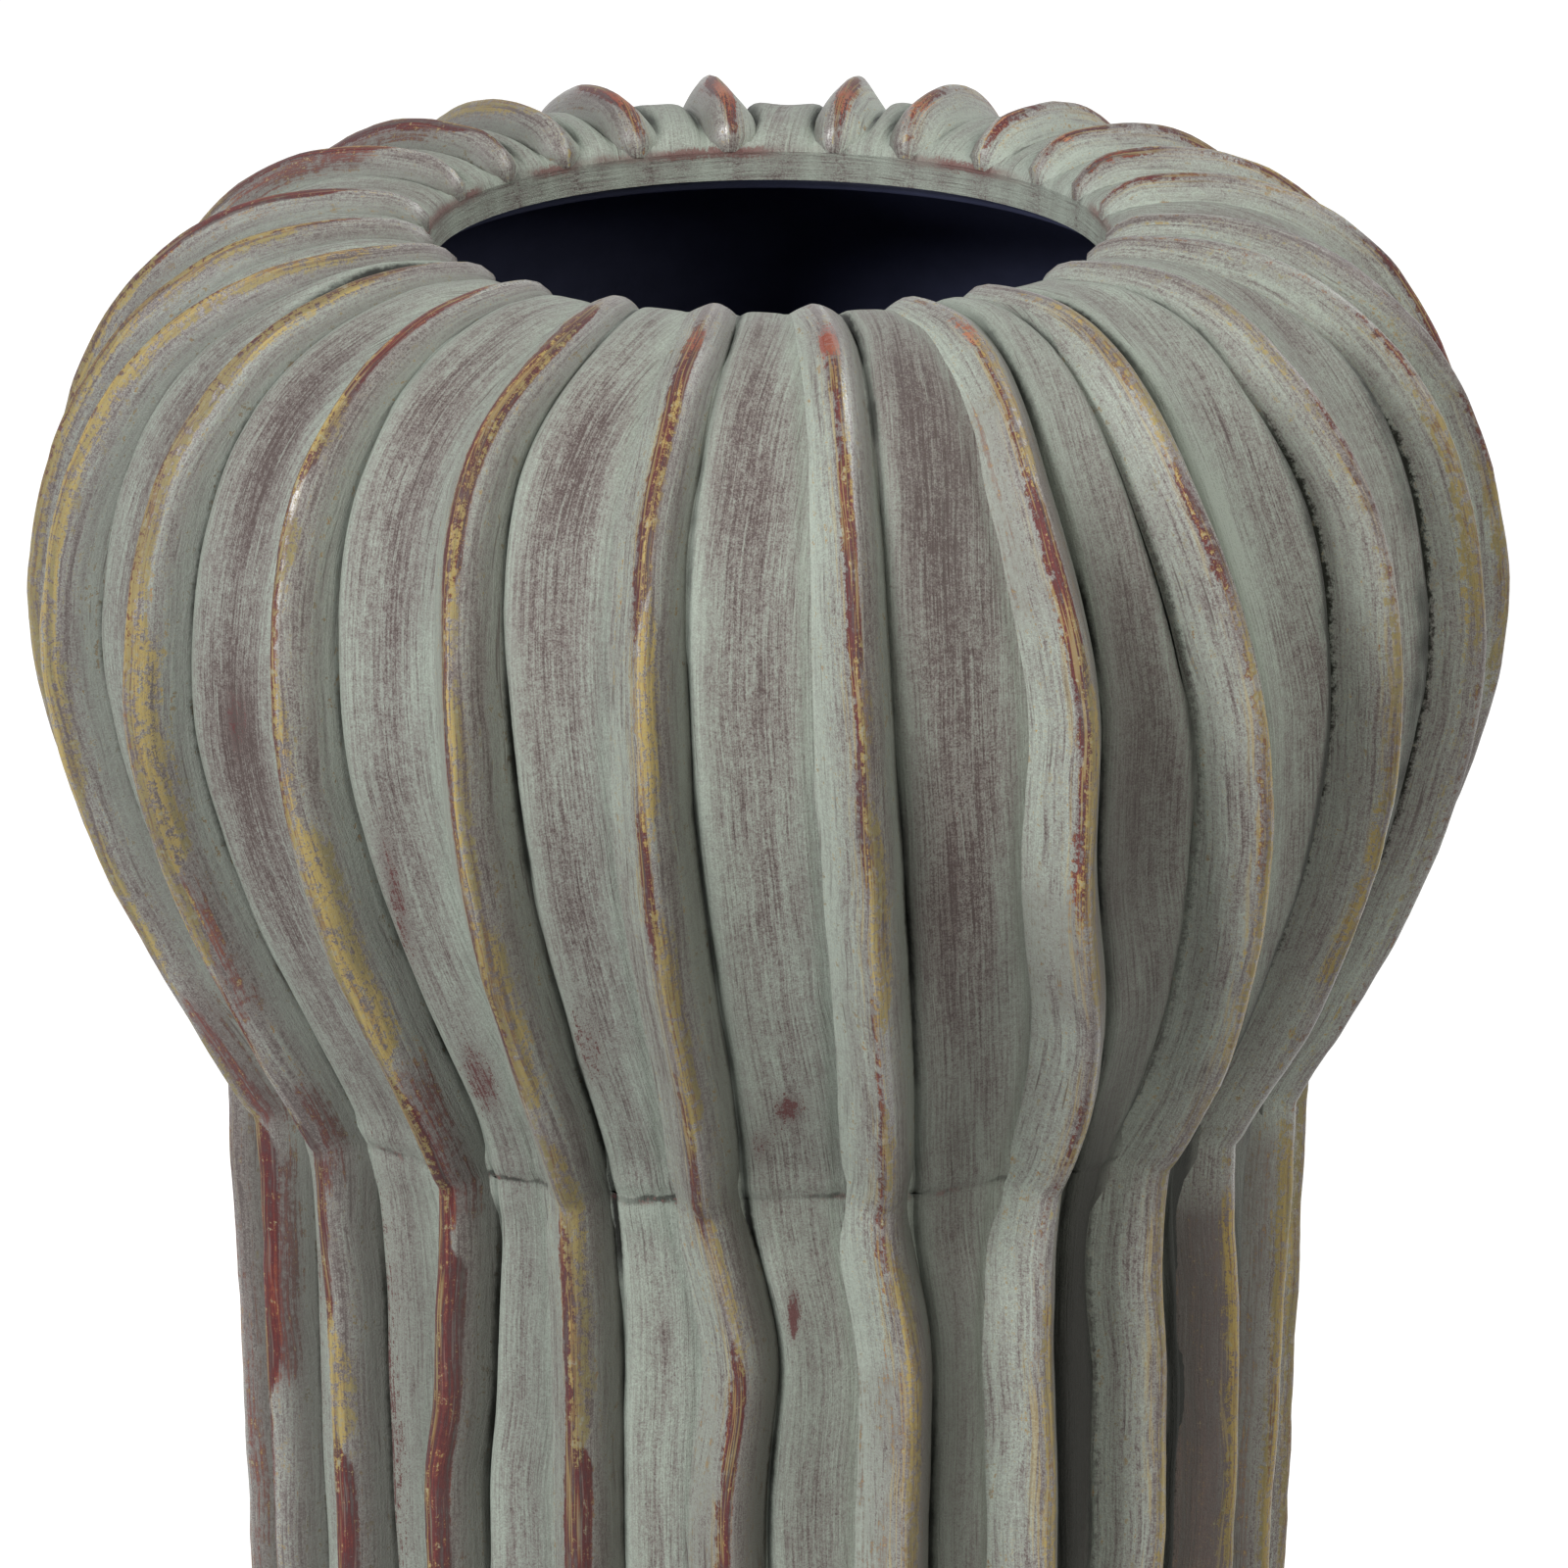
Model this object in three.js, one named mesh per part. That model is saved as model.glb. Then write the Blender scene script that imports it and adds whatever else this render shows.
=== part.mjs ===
// Ribbed terracotta vase: a bulbous head on a tall column, built from separate clay pieces.
// A thrown head shell is luted on a column, the column stands on a base slab, and hand-rolled
// coils run over the outside from the mouth to the foot. Millimetres, +Z up. The origin is the
// middle of the base, on the surface that the vase stands on. The front faces -Y.

import * as THREE from 'three';

// Heights
const BASE_THICKNESS = 10;
const WAIST_HEIGHT = 271.5;
const HEAD_HEIGHT = 176.1;
const BELLY_RISE = 101.5;
const RIM_DROP = 4;
const RIM_BAND = 8;

// Outer radii of the plain wall between the ribs
const FOOT_RADIUS = 98;
const WAIST_RADIUS = 100.5;
const BELLY_RADIUS = 138.5;
const SHOULDER_RADIUS = 78.2;
const RIM_RADIUS = 69;
const MOUTH_RADIUS = 67.7;

// Fullness of the curves: how far each end of a curve keeps its first direction
const COLUMN_PULL = 85;
const COLUMN_LOW_RADIUS = 91;
const COLUMN_HIGH_RADIUS = 97.5;
const WAIST_PULL = 24;
const WAIST_LEAN = THREE.MathUtils.degToRad(60);
const BELLY_PULL_DOWN = 36;
const BELLY_PULL_UP = 26;
const SHOULDER_PULL = 49.5;
const RIM_PULL = 5;
const RIM_PULL_UP = 2;

// Clay
const HEAD_WALL = 9;
const COLUMN_WALL = 9;
const BASE_BEVEL = 2;

// Clearances that stand for the luted joints
const LUTE_GAP = 0.3;
const RIB_SEAT_GAP = 0.3;

// Ribs: hand-rolled coils, pinched to a rounded ridge. At the mouth they stand taller at the back
// of the vase than at the sides, and lower at the front, by the back rise.
const RIB_COUNT = 24;
const RIB_FOOT_LIFT = 4;
const RIB_SETTLE = 40;
const RIB_HEIGHT = { column: 9.5, waist: 9.8, belly: 11.5, shoulder: 4.2, tip: 3 };
const RIB_WIDTH = { column: 16, waist: 16, belly: 17, shoulder: 12, tip: 10 };
const RIB_BACK_RISE = 2.1;
const RIB_SPREAD = THREE.MathUtils.degToRad(6.5);

// How far each rib wanders from its even place, as shares of the space from rib to rib.
// One row per rib, from the left edge round the front to the right and on round the back.
const RIB_SWAY = [
  { shoulder: 0.17, belly: 0.0, waist: 0.05, column: 0.0 },
  { shoulder: 0.03, belly: -0.3, waist: 0.05, column: 0.17 },
  { shoulder: -0.13, belly: -0.18, waist: 0.08, column: 0.19 },
  { shoulder: -0.22, belly: -0.05, waist: 0.29, column: 0.17 },
  { shoulder: -0.15, belly: -0.09, waist: 0.15, column: 0.22 },
  { shoulder: -0.08, belly: -0.11, waist: 0.07, column: 0.27 },
  { shoulder: -0.05, belly: -0.09, waist: 0.23, column: 0.41 },
  { shoulder: -0.02, belly: -0.05, waist: 0.4, column: 0.38 },
  { shoulder: -0.12, belly: -0.1, waist: 0.33, column: 0.3 },
  { shoulder: 0.1, belly: 0.0, waist: 0.09, column: 0.12 },
  { shoulder: 0.1, belly: 0.13, waist: 0.17, column: 0.1 },
  { shoulder: -0.07, belly: 0.0, waist: 0.07, column: 0.07 },
  { shoulder: 0.3, belly: 0.05, waist: -0.06, column: 0.1 },
  { shoulder: 0.17, belly: -0.1, waist: 0.1, column: -0.08 },
  { shoulder: 0.03, belly: -0.08, waist: 0.04, column: 0.12 },
  { shoulder: -0.1, belly: 0.06, waist: -0.12, column: -0.05 },
  { shoulder: -0.1, belly: -0.05, waist: 0.09, column: 0.14 },
  { shoulder: -0.27, belly: -0.12, waist: -0.05, column: 0.06 },
  { shoulder: -0.07, belly: 0.04, waist: 0.12, column: -0.1 },
  { shoulder: -0.03, belly: 0.08, waist: -0.08, column: 0.07 },
  { shoulder: -0.1, belly: -0.04, waist: 0.06, column: 0.15 },
  { shoulder: -0.23, belly: 0.07, waist: -0.1, column: -0.06 },
  { shoulder: -0.23, belly: 0.03, waist: 0.08, column: 0.05 },
  { shoulder: 0.2, belly: 0.06, waist: -0.04, column: 0.1 },
];

// The ribs' section, as shares of half their width and of their height
const CREST_HALF_WIDTH = 0.2;
const CREST_LEAN = 0.1;
const FLANK_HALF_WIDTH = 0.66;
const FLANK_HEIGHT = 0.55;

// Mesh fineness
const ROUND_STEPS = 48;
const COLUMN_STEPS = 4;
const SETTLE_STEPS = 3;
const LOWER_HEAD_STEPS = 7;
const UPPER_HEAD_STEPS = 8;
const RIM_STEPS = 3;

const WALL_FINISH = { color: 0x8d948a, roughness: 0.72 };
const RIB_FINISH = { color: 0x7f857b, roughness: 0.6 };
const BASE_FINISH = { color: 0x7a5148, roughness: 0.9 };

// Outer wall line from the foot to the rim, as [radius, height] curves

const shoulderHeight = WAIST_HEIGHT + HEAD_HEIGHT;
const bellyHeight = WAIST_HEIGHT + BELLY_RISE;
const rimHeight = shoulderHeight - RIM_DROP;
const bandBottom = rimHeight - RIM_BAND;

function curve(...points) {
  return new THREE.CubicBezierCurve(...points.map(([r, z]) => new THREE.Vector2(r, z)));
}

const columnCurve = curve(
  [FOOT_RADIUS, BASE_THICKNESS],
  [COLUMN_LOW_RADIUS, BASE_THICKNESS + COLUMN_PULL],
  [COLUMN_HIGH_RADIUS, WAIST_HEIGHT - COLUMN_PULL],
  [WAIST_RADIUS, WAIST_HEIGHT],
);

const lowerHeadCurve = curve(
  [WAIST_RADIUS, WAIST_HEIGHT],
  [WAIST_RADIUS + WAIST_PULL * Math.cos(WAIST_LEAN), WAIST_HEIGHT + WAIST_PULL * Math.sin(WAIST_LEAN)],
  [BELLY_RADIUS, bellyHeight - BELLY_PULL_DOWN],
  [BELLY_RADIUS, bellyHeight],
);

const upperHeadCurve = curve(
  [BELLY_RADIUS, bellyHeight],
  [BELLY_RADIUS, bellyHeight + BELLY_PULL_UP],
  [SHOULDER_RADIUS + SHOULDER_PULL, shoulderHeight],
  [SHOULDER_RADIUS, shoulderHeight],
);

const rimCurve = curve(
  [SHOULDER_RADIUS, shoulderHeight],
  [SHOULDER_RADIUS - RIM_PULL, shoulderHeight],
  [RIM_RADIUS, rimHeight + RIM_PULL_UP],
  [RIM_RADIUS, rimHeight],
);

// Stations along one curve between two shares of its length, each with its outward normal
function stationsOf(line, steps, first = 0, last = 1) {
  const stations = [];
  for (let i = 0; i <= steps; i += 1) {
    const u = THREE.MathUtils.lerp(first, last, i / steps);
    const point = line.getPointAt(u);
    const tangent = line.getTangentAt(u);
    stations.push({ r: point.x, z: point.y, out: tangent.y, up: -tangent.x });
  }
  return stations;
}

const settleShare = 1 - RIB_SETTLE / columnCurve.getLength();
const columnStations = stationsOf(columnCurve, COLUMN_STEPS, 0, settleShare);
const settleStations = stationsOf(columnCurve, SETTLE_STEPS, settleShare, 1);
const lowerHeadStations = stationsOf(lowerHeadCurve, LOWER_HEAD_STEPS);
const upperHeadStations = stationsOf(upperHeadCurve, UPPER_HEAD_STEPS);
const rimStations = stationsOf(rimCurve, RIM_STEPS);

// Bodies of revolution

function lathe(outline) {
  const points = outline.map(([r, z]) => new THREE.Vector2(r, z));
  const geometry = new THREE.LatheGeometry(points, ROUND_STEPS);
  geometry.rotateX(Math.PI / 2);
  return geometry;
}

function baseSlab() {
  const outline = [
    [0, 0],
    [FOOT_RADIUS - BASE_BEVEL, 0],
    [FOOT_RADIUS, BASE_BEVEL],
    [FOOT_RADIUS, BASE_THICKNESS],
    [0, BASE_THICKNESS],
  ];
  return lathe(outline);
}

function columnShell() {
  const outer = [...columnStations, ...settleStations.slice(1)].map(({ r, z }) => [r, z]);
  outer[0][1] += LUTE_GAP;
  outer[outer.length - 1][1] -= LUTE_GAP;
  const inner = outer.map(([r, z]) => [r - COLUMN_WALL, z]).reverse();
  return lathe([...outer, ...inner, outer[0]]);
}

function bulbShell() {
  const outerStations = [
    ...lowerHeadStations,
    ...upperHeadStations.slice(1),
    ...rimStations.slice(1),
  ];
  const outer = outerStations.map(({ r, z }) => [r, z]);
  const band = [MOUTH_RADIUS, bandBottom];
  const innerStations = [...lowerHeadStations.slice(1), ...upperHeadStations.slice(1)];
  const inner = innerStations.map(({ r, z, out, up }) => [r - HEAD_WALL * out, z - HEAD_WALL * up]);
  const seat = [WAIST_RADIUS - COLUMN_WALL, WAIST_HEIGHT];
  return lathe([...outer, band, ...inner.reverse(), seat, outer[0]]);
}

// Ribs

// The angle of one rib at one level, measured from the front and growing towards +X
function ribAngle(index, level) {
  const pitch = (2 * Math.PI) / RIB_COUNT;
  const even = (index + 0.5) * pitch - Math.PI / 2;
  const atMouth = level === 'shoulder' || level === 'tip';
  const spread = atMouth ? 0 : RIB_SPREAD;
  const sway = RIB_SWAY[index % RIB_SWAY.length][atMouth ? 'shoulder' : level];
  return even + spread * Math.sin(even) + sway * pitch;
}

// A smooth curve through [place, value] knots, with level ends
function smoothThrough(knots, place) {
  const last = knots.length - 1;
  let k = 0;
  while (k < last - 1 && place > knots[k + 1][0]) k += 1;
  const slope = (i) => {
    if (i === 0 || i === last) return 0;
    return (knots[i + 1][1] - knots[i - 1][1]) / (knots[i + 1][0] - knots[i - 1][0]);
  };
  const [[x0, y0], [x1, y1]] = [knots[k], knots[k + 1]];
  const span = x1 - x0;
  const t = THREE.MathUtils.clamp((place - x0) / span, 0, 1);
  const blend = t * t * (3 - 2 * t);
  const lead = t * (1 - t) * (1 - t) * span * slope(k);
  const trail = t * t * (t - 1) * span * slope(k + 1);
  return y0 + (y1 - y0) * blend + lead + trail;
}

// The wall that a rib lies on, from just above the ground to the rim: the creased waist is one
// station, whose normal halves the corner, and each station knows its distance along the wall
function ribWall() {
  const below = settleStations[settleStations.length - 1];
  const above = lowerHeadStations[0];
  const halfway = new THREE.Vector2(below.out + above.out, below.up + above.up).normalize();
  const wall = [
    { r: FOOT_RADIUS, z: RIB_FOOT_LIFT, out: 1, up: 0 },
    ...columnStations,
    ...settleStations.slice(1, -1),
    { ...above, out: halfway.x, up: halfway.y },
    ...lowerHeadStations.slice(1),
    ...upperHeadStations.slice(1),
    ...rimStations.slice(1),
  ];
  let along = 0;
  return wall.map((station, i) => {
    const before = wall[Math.max(i - 1, 0)];
    along += Math.hypot(station.r - before.r, station.z - before.z);
    return { ...station, along };
  });
}

const wallStations = ribWall();

// Distances along the wall at which the ribs' sizes and angles are set
const settleIndex = COLUMN_STEPS + 1;
const waistIndex = settleIndex + SETTLE_STEPS;
const bellyIndex = waistIndex + LOWER_HEAD_STEPS;
const shoulderIndex = bellyIndex + UPPER_HEAD_STEPS;
const levels = [
  ['column', wallStations[0].along],
  ['column', wallStations[settleIndex].along],
  ['waist', wallStations[waistIndex].along],
  ['belly', wallStations[bellyIndex].along],
  ['shoulder', wallStations[shoulderIndex].along],
  ['tip', wallStations[wallStations.length - 1].along],
];

function knotsOf(valueAt) {
  return levels.map(([level, along]) => [along, valueAt(level)]);
}

// The section's corners as [share of the half width, share of the height], wall side first
const RIB_SECTION = [
  [-1, 0],
  [0, 0],
  [1, 0],
  [FLANK_HALF_WIDTH + CREST_LEAN / 2, FLANK_HEIGHT],
  [CREST_HALF_WIDTH + CREST_LEAN, 1],
  [-CREST_HALF_WIDTH + CREST_LEAN, 1],
  [-FLANK_HALF_WIDTH + CREST_LEAN / 2, FLANK_HEIGHT],
];

function ribRing(wall, angle, height, width) {
  return RIB_SECTION.map(([across, rise]) => {
    const lift = Math.max(RIB_SEAT_GAP, rise * height);
    const radius = wall.r + lift * wall.out;
    const turn = angle + (across * width) / 2 / wall.r;
    return new THREE.Vector3(
      radius * Math.sin(turn),
      -radius * Math.cos(turn),
      wall.z + lift * wall.up,
    );
  });
}

// A closed skin through rings of corners, with flat ends
function skin(rings) {
  const corners = rings[0].length;
  const index = [];
  for (let i = 0; i + 1 < rings.length; i += 1) {
    for (let j = 0; j < corners; j += 1) {
      const a = i * corners + j;
      const b = i * corners + ((j + 1) % corners);
      const c = b + corners;
      const d = a + corners;
      index.push(a, c, b, a, d, c);
    }
  }
  const last = (rings.length - 1) * corners;
  for (let j = 1; j + 1 < corners; j += 1) {
    index.push(0, j, j + 1);
    index.push(last, last + j + 1, last + j);
  }
  const geometry = new THREE.BufferGeometry().setFromPoints(rings.flat());
  geometry.setIndex(index);
  geometry.computeVertexNormals();
  return geometry;
}

function ribHeight(index, level) {
  const rise = level === 'shoulder' ? RIB_BACK_RISE : 0;
  return RIB_HEIGHT[level] - rise * Math.cos(ribAngle(index, level));
}

function rib(index) {
  const angles = knotsOf((level) => ribAngle(index, level));
  const heights = knotsOf((level) => ribHeight(index, level));
  const widths = knotsOf((level) => RIB_WIDTH[level]);
  const rings = wallStations.map((wall) => {
    const [angle, height, width] = [angles, heights, widths].map((k) => smoothThrough(k, wall.along));
    return ribRing(wall, angle, height, width);
  });
  return skin(rings);
}

// The assembly

function piece(name, geometry, finish) {
  const material = new THREE.MeshStandardMaterial({ ...finish, metalness: 0 });
  const mesh = new THREE.Mesh(geometry, material);
  mesh.name = name;
  return mesh;
}

const vase = new THREE.Group();
vase.add(piece('base_slab', baseSlab(), BASE_FINISH));
vase.add(piece('column_shell', columnShell(), WALL_FINISH));
vase.add(piece('bulb_shell', bulbShell(), WALL_FINISH));
for (let i = 0; i < RIB_COUNT; i += 1) {
  vase.add(piece(`rib_${String(i + 1).padStart(2, '0')}`, rib(i), RIB_FINISH));
}

export default vase;
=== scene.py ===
"""Ribbed terracotta vase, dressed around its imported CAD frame.

A bulbous head on a tall column carries twenty-four hand-laid coils that run from the sunken
mouth to the foot. Everything is in metres in the frame's own axes: +Z up, the front faces -Y.
"""

import logging
import math
from dataclasses import dataclass, field
from enum import Enum
from functools import reduce
from typing import Callable, Optional, Sequence, Union

import bpy
import numpy as np
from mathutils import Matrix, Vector

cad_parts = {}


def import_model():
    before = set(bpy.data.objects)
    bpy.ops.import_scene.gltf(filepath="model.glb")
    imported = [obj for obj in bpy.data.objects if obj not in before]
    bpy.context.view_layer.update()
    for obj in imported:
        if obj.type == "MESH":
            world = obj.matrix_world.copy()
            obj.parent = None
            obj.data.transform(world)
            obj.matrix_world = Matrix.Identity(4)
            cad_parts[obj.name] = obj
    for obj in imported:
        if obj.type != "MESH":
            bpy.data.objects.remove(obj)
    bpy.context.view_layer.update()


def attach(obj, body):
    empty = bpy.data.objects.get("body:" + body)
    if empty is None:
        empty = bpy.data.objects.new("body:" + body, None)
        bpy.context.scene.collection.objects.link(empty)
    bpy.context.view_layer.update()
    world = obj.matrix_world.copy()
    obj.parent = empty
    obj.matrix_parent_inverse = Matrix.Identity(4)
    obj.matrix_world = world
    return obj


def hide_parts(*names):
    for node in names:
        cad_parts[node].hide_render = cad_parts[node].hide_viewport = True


log = logging.getLogger("vase")

MM = 0.001
BODY = "root"
SHARP_CORNER = math.radians(55.0)

Socket = bpy.types.NodeSocket
Feed = Union[float, Sequence[float], Socket]
Feeds = dict[Union[int, str], Union[Feed, str, None]]
Colour = tuple[float, float, float]
Place = tuple[float, float, float]
Span = tuple[float, float]
Knots = Sequence[tuple[float, float]]
Stretches = Sequence[tuple[float, float, float]]


class Slot(str, Enum):
    """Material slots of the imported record."""

    BASE = "raw_base"
    WALL = "painted_wall"
    RIB = "painted_rib"


class Level(Enum):
    """Heights along the wall at which the ribs' sizes and places are set."""

    COLUMN = "column"
    WAIST = "waist"
    BELLY = "belly"
    SHOULDER = "shoulder"
    TIP = "tip"


# ---- node graphs


@dataclass(frozen=True)
class Patch:
    """Where a mask starts and is full, how opaque it is, and how rough a dry brush leaves its edge."""

    start: float
    full: float
    opacity: float = 1.0
    dabs: float = 0.5
    specks: float = 1.0


class Graph:
    """Lays out and links the nodes of one shader or geometry tree."""

    nodes_per_row = 14
    node_spacing = (190.0, -240.0)

    def __init__(self, tree: bpy.types.NodeTree) -> None:
        """Starts with nothing laid out.

        Args:
            tree: the tree that receives the nodes.
        """
        self.tree = tree
        self.count = 0

    def add(self, kind: str, feeds: Optional[Feeds] = None, **settings: object) -> bpy.types.Node:
        """Adds a node, sets its plain settings and fills its inputs.

        Args:
            kind: the node's type name.
            feeds: a socket to link or a plain value for each input, by its name or place. None
                leaves the input as it is.
            settings: properties of the node and their values.

        Returns:
            The new node.
        """
        node = self.tree.nodes.new(kind)
        row, column = divmod(self.count, self.nodes_per_row)
        node.location = (column * self.node_spacing[0], row * self.node_spacing[1])
        self.count += 1
        for name, value in settings.items():
            setattr(node, name, value)
        for key, value in (feeds or {}).items():
            if isinstance(value, bpy.types.NodeSocket):
                self.tree.links.new(value, node.inputs[key])
            elif value is not None:
                node.inputs[key].default_value = value
        return node

    def math(self, operation: str, *inputs: Feed, clamp: bool = False) -> Socket:
        """Returns the result of a Math node, kept from 0 to 1 if it is clamped."""
        feeds = dict(enumerate(inputs))
        return self.add("ShaderNodeMath", feeds, operation=operation, use_clamp=clamp).outputs[0]

    def total(self, *values: Feed) -> Socket:
        """Returns the sum of all values."""
        return reduce(lambda a, b: self.math("ADD", a, b), values)

    def product(self, *values: Feed) -> Socket:
        """Returns the product of all values."""
        return reduce(lambda a, b: self.math("MULTIPLY", a, b), values)

    def line(self, value: Feed, start: float, slope: float) -> Socket:
        """Returns a start plus a slope times a value."""
        return self.total(start, self.product(value, slope))

    def swing(self, value: Feed, reach: Feed) -> Socket:
        """Turns a 0 to 1 value into one that swings reach either side of nothing."""
        return self.product(self.math("SUBTRACT", value, 0.5), 2.0, reach)

    def rest(self, value: Feed) -> Socket:
        """Returns what a value leaves of 1."""
        return self.math("SUBTRACT", 1.0, value)

    def vector(self, operation: str, *inputs: Feed) -> Socket:
        """Returns the result of a Vector Math node with vector inputs."""
        feeds = dict(enumerate(inputs))
        return self.add("ShaderNodeVectorMath", feeds, operation=operation).outputs["Vector"]

    def scaled(self, vector: Feed, scale: Feed) -> Socket:
        """Returns a vector times a number."""
        feeds = {0: vector, "Scale": scale}
        return self.add("ShaderNodeVectorMath", feeds, operation="SCALE").outputs["Vector"]

    def combine(self, x: Feed, y: Feed, z: Feed) -> Socket:
        """Returns a vector from three numbers."""
        return self.add("ShaderNodeCombineXYZ", {0: x, 1: y, 2: z}).outputs[0]

    def separate(self, vector: Feed) -> tuple[Socket, Socket, Socket]:
        """Returns a vector's three numbers."""
        return tuple(self.add("ShaderNodeSeparateXYZ", {0: vector}).outputs)

    def smooth(self, value: Feed, low: Feed, high: Feed) -> Socket:
        """Eases from 0 to 1 between two limits.

        Args:
            value: the number to ease.
            low: where it gives 0. It may lie above high.
            high: where it gives 1.

        Returns:
            The eased share.
        """
        feeds = {"Value": value, "From Min": low, "From Max": high}
        node = self.add("ShaderNodeMapRange", feeds, interpolation_type="SMOOTHSTEP", clamp=True)
        return node.outputs["Result"]

    def patch(self, value: Feed, patch: Patch) -> Socket:
        """Returns a patch's mask: 0 before its start, and its opacity where it is full."""
        return self.product(self.smooth(value, patch.start, patch.full), patch.opacity)

    def fade(self, distance: Feed, reach: float) -> Socket:
        """Returns 1 at no distance, falling off by e over each reach."""
        return self.math("EXPONENT", self.math("MULTIPLY", distance, -1.0 / reach))

    def noise(
        self, vector: Feed, scale: float, detail: float = 2.0, rough: float = 0.5, seed: Feed = 0.0
    ) -> Socket:
        """Adds a noise.

        Args:
            vector: where to read it.
            scale: cells in each unit of the vector.
            detail: octaves of finer noise.
            rough: strength of each finer octave.
            seed: which noise, along its fourth dimension.

        Returns:
            The noise value, from 0 to 1.
        """
        feeds = {"Vector": vector, "W": seed, "Scale": scale, "Detail": detail, "Roughness": rough}
        return self.add("ShaderNodeTexNoise", feeds, noise_dimensions="4D").outputs[0]

    def mix(self, factor: Feed, a: Feed, b: Feed) -> Socket:
        """Returns a number between a and b."""
        return self.add("ShaderNodeMix", {0: factor, 2: a, 3: b}, data_type="FLOAT").outputs[0]

    def tint(self, factor: Feed, a: Feed, b: Feed) -> Socket:
        """Lays one colour over another.

        Args:
            factor: how far b covers a.
            a: the colour below.
            b: the colour above.

        Returns:
            The colour that shows.
        """
        feeds = {0: factor, 6: opaque(a), 7: opaque(b)}
        return self.add("ShaderNodeMix", feeds, data_type="RGBA").outputs[2]

    def ramp(self, value: Feed, stops: Sequence[tuple[float, Colour]]) -> Socket:
        """Reads a colour off a row of stops.

        Args:
            value: the place along the row, from 0 to 1.
            stops: places and their colours, in order.

        Returns:
            The colour there.
        """
        node = self.add("ShaderNodeValToRGB", {0: value})
        elements = node.color_ramp.elements
        while len(elements) < len(stops):
            elements.new(1.0)
        for element, (place, colour) in zip(elements, stops):
            element.position = place
            element.color = opaque(colour)
        return node.outputs[0]

    def curve(self, value: Feed, points: Knots) -> Socket:
        """Reads the height of a drawn curve.

        Args:
            value: the place along it, from 0 to 1.
            points: its (place, height) points, in order.

        Returns:
            The height there.
        """
        node = self.add("ShaderNodeFloatCurve", {"Value": value})
        line = node.mapping.curves[0]
        while len(line.points) < len(points):
            line.points.new(0.5, 0.5)
        for point, place in zip(line.points, points):
            point.location = place
        node.mapping.update()
        return node.outputs[0]


def opaque(colour: Feed) -> Feed:
    """Returns a plain colour with full opacity. A socket or number comes back as it is."""
    if isinstance(colour, (tuple, list)) and len(colour) == 3:
        return (*colour, 1.0)
    return colour


# ---- the wall's own line


@dataclass(frozen=True)
class WallLine:
    """The outer line of the plain wall as [radius, height] curves, in millimetres.

    Distances along it start just above the ground at the foot.
    """

    base_thickness: float = 10.0
    waist_height: float = 271.5
    head_height: float = 176.1
    belly_rise: float = 101.5
    rim_drop: float = 4.0
    rim_band: float = 8.0
    foot_radius: float = 98.0
    waist_radius: float = 100.5
    belly_radius: float = 138.5
    shoulder_radius: float = 78.2
    rim_radius: float = 69.0
    mouth_radius: float = 67.7
    column_pull: float = 85.0
    column_low_radius: float = 91.0
    column_high_radius: float = 97.5
    waist_pull: float = 24.0
    waist_lean: float = math.radians(60.0)
    belly_pull_down: float = 36.0
    belly_pull_up: float = 26.0
    shoulder_pull: float = 49.5
    rim_pull: float = 5.0
    rim_pull_up: float = 2.0
    rib_foot_lift: float = 4.0
    rib_settle: float = 40.0
    samples: int = 400

    def controls(self) -> list[list[tuple[float, float]]]:
        """Places the control points of the wall's four curves.

        Returns:
            Each curve's points, from the foot to the rim.
        """
        waist = (self.waist_radius, self.waist_height)
        lean = (
            self.waist_radius + self.waist_pull * math.cos(self.waist_lean),
            self.waist_height + self.waist_pull * math.sin(self.waist_lean),
        )
        belly_height = self.waist_height + self.belly_rise
        top = self.waist_height + self.head_height
        belly = (self.belly_radius, belly_height)
        shoulder = (self.shoulder_radius, top)
        rim = (self.rim_radius, top - self.rim_drop)
        return [
            [
                (self.foot_radius, self.base_thickness),
                (self.column_low_radius, self.base_thickness + self.column_pull),
                (self.column_high_radius, self.waist_height - self.column_pull),
                waist,
            ],
            [waist, lean, (self.belly_radius, belly_height - self.belly_pull_down), belly],
            [
                belly,
                (self.belly_radius, belly_height + self.belly_pull_up),
                (self.shoulder_radius + self.shoulder_pull, top),
                shoulder,
            ],
            [
                shoulder,
                (self.shoulder_radius - self.rim_pull, top),
                (self.rim_radius, top - self.rim_drop + self.rim_pull_up),
                rim,
            ],
        ]


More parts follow.
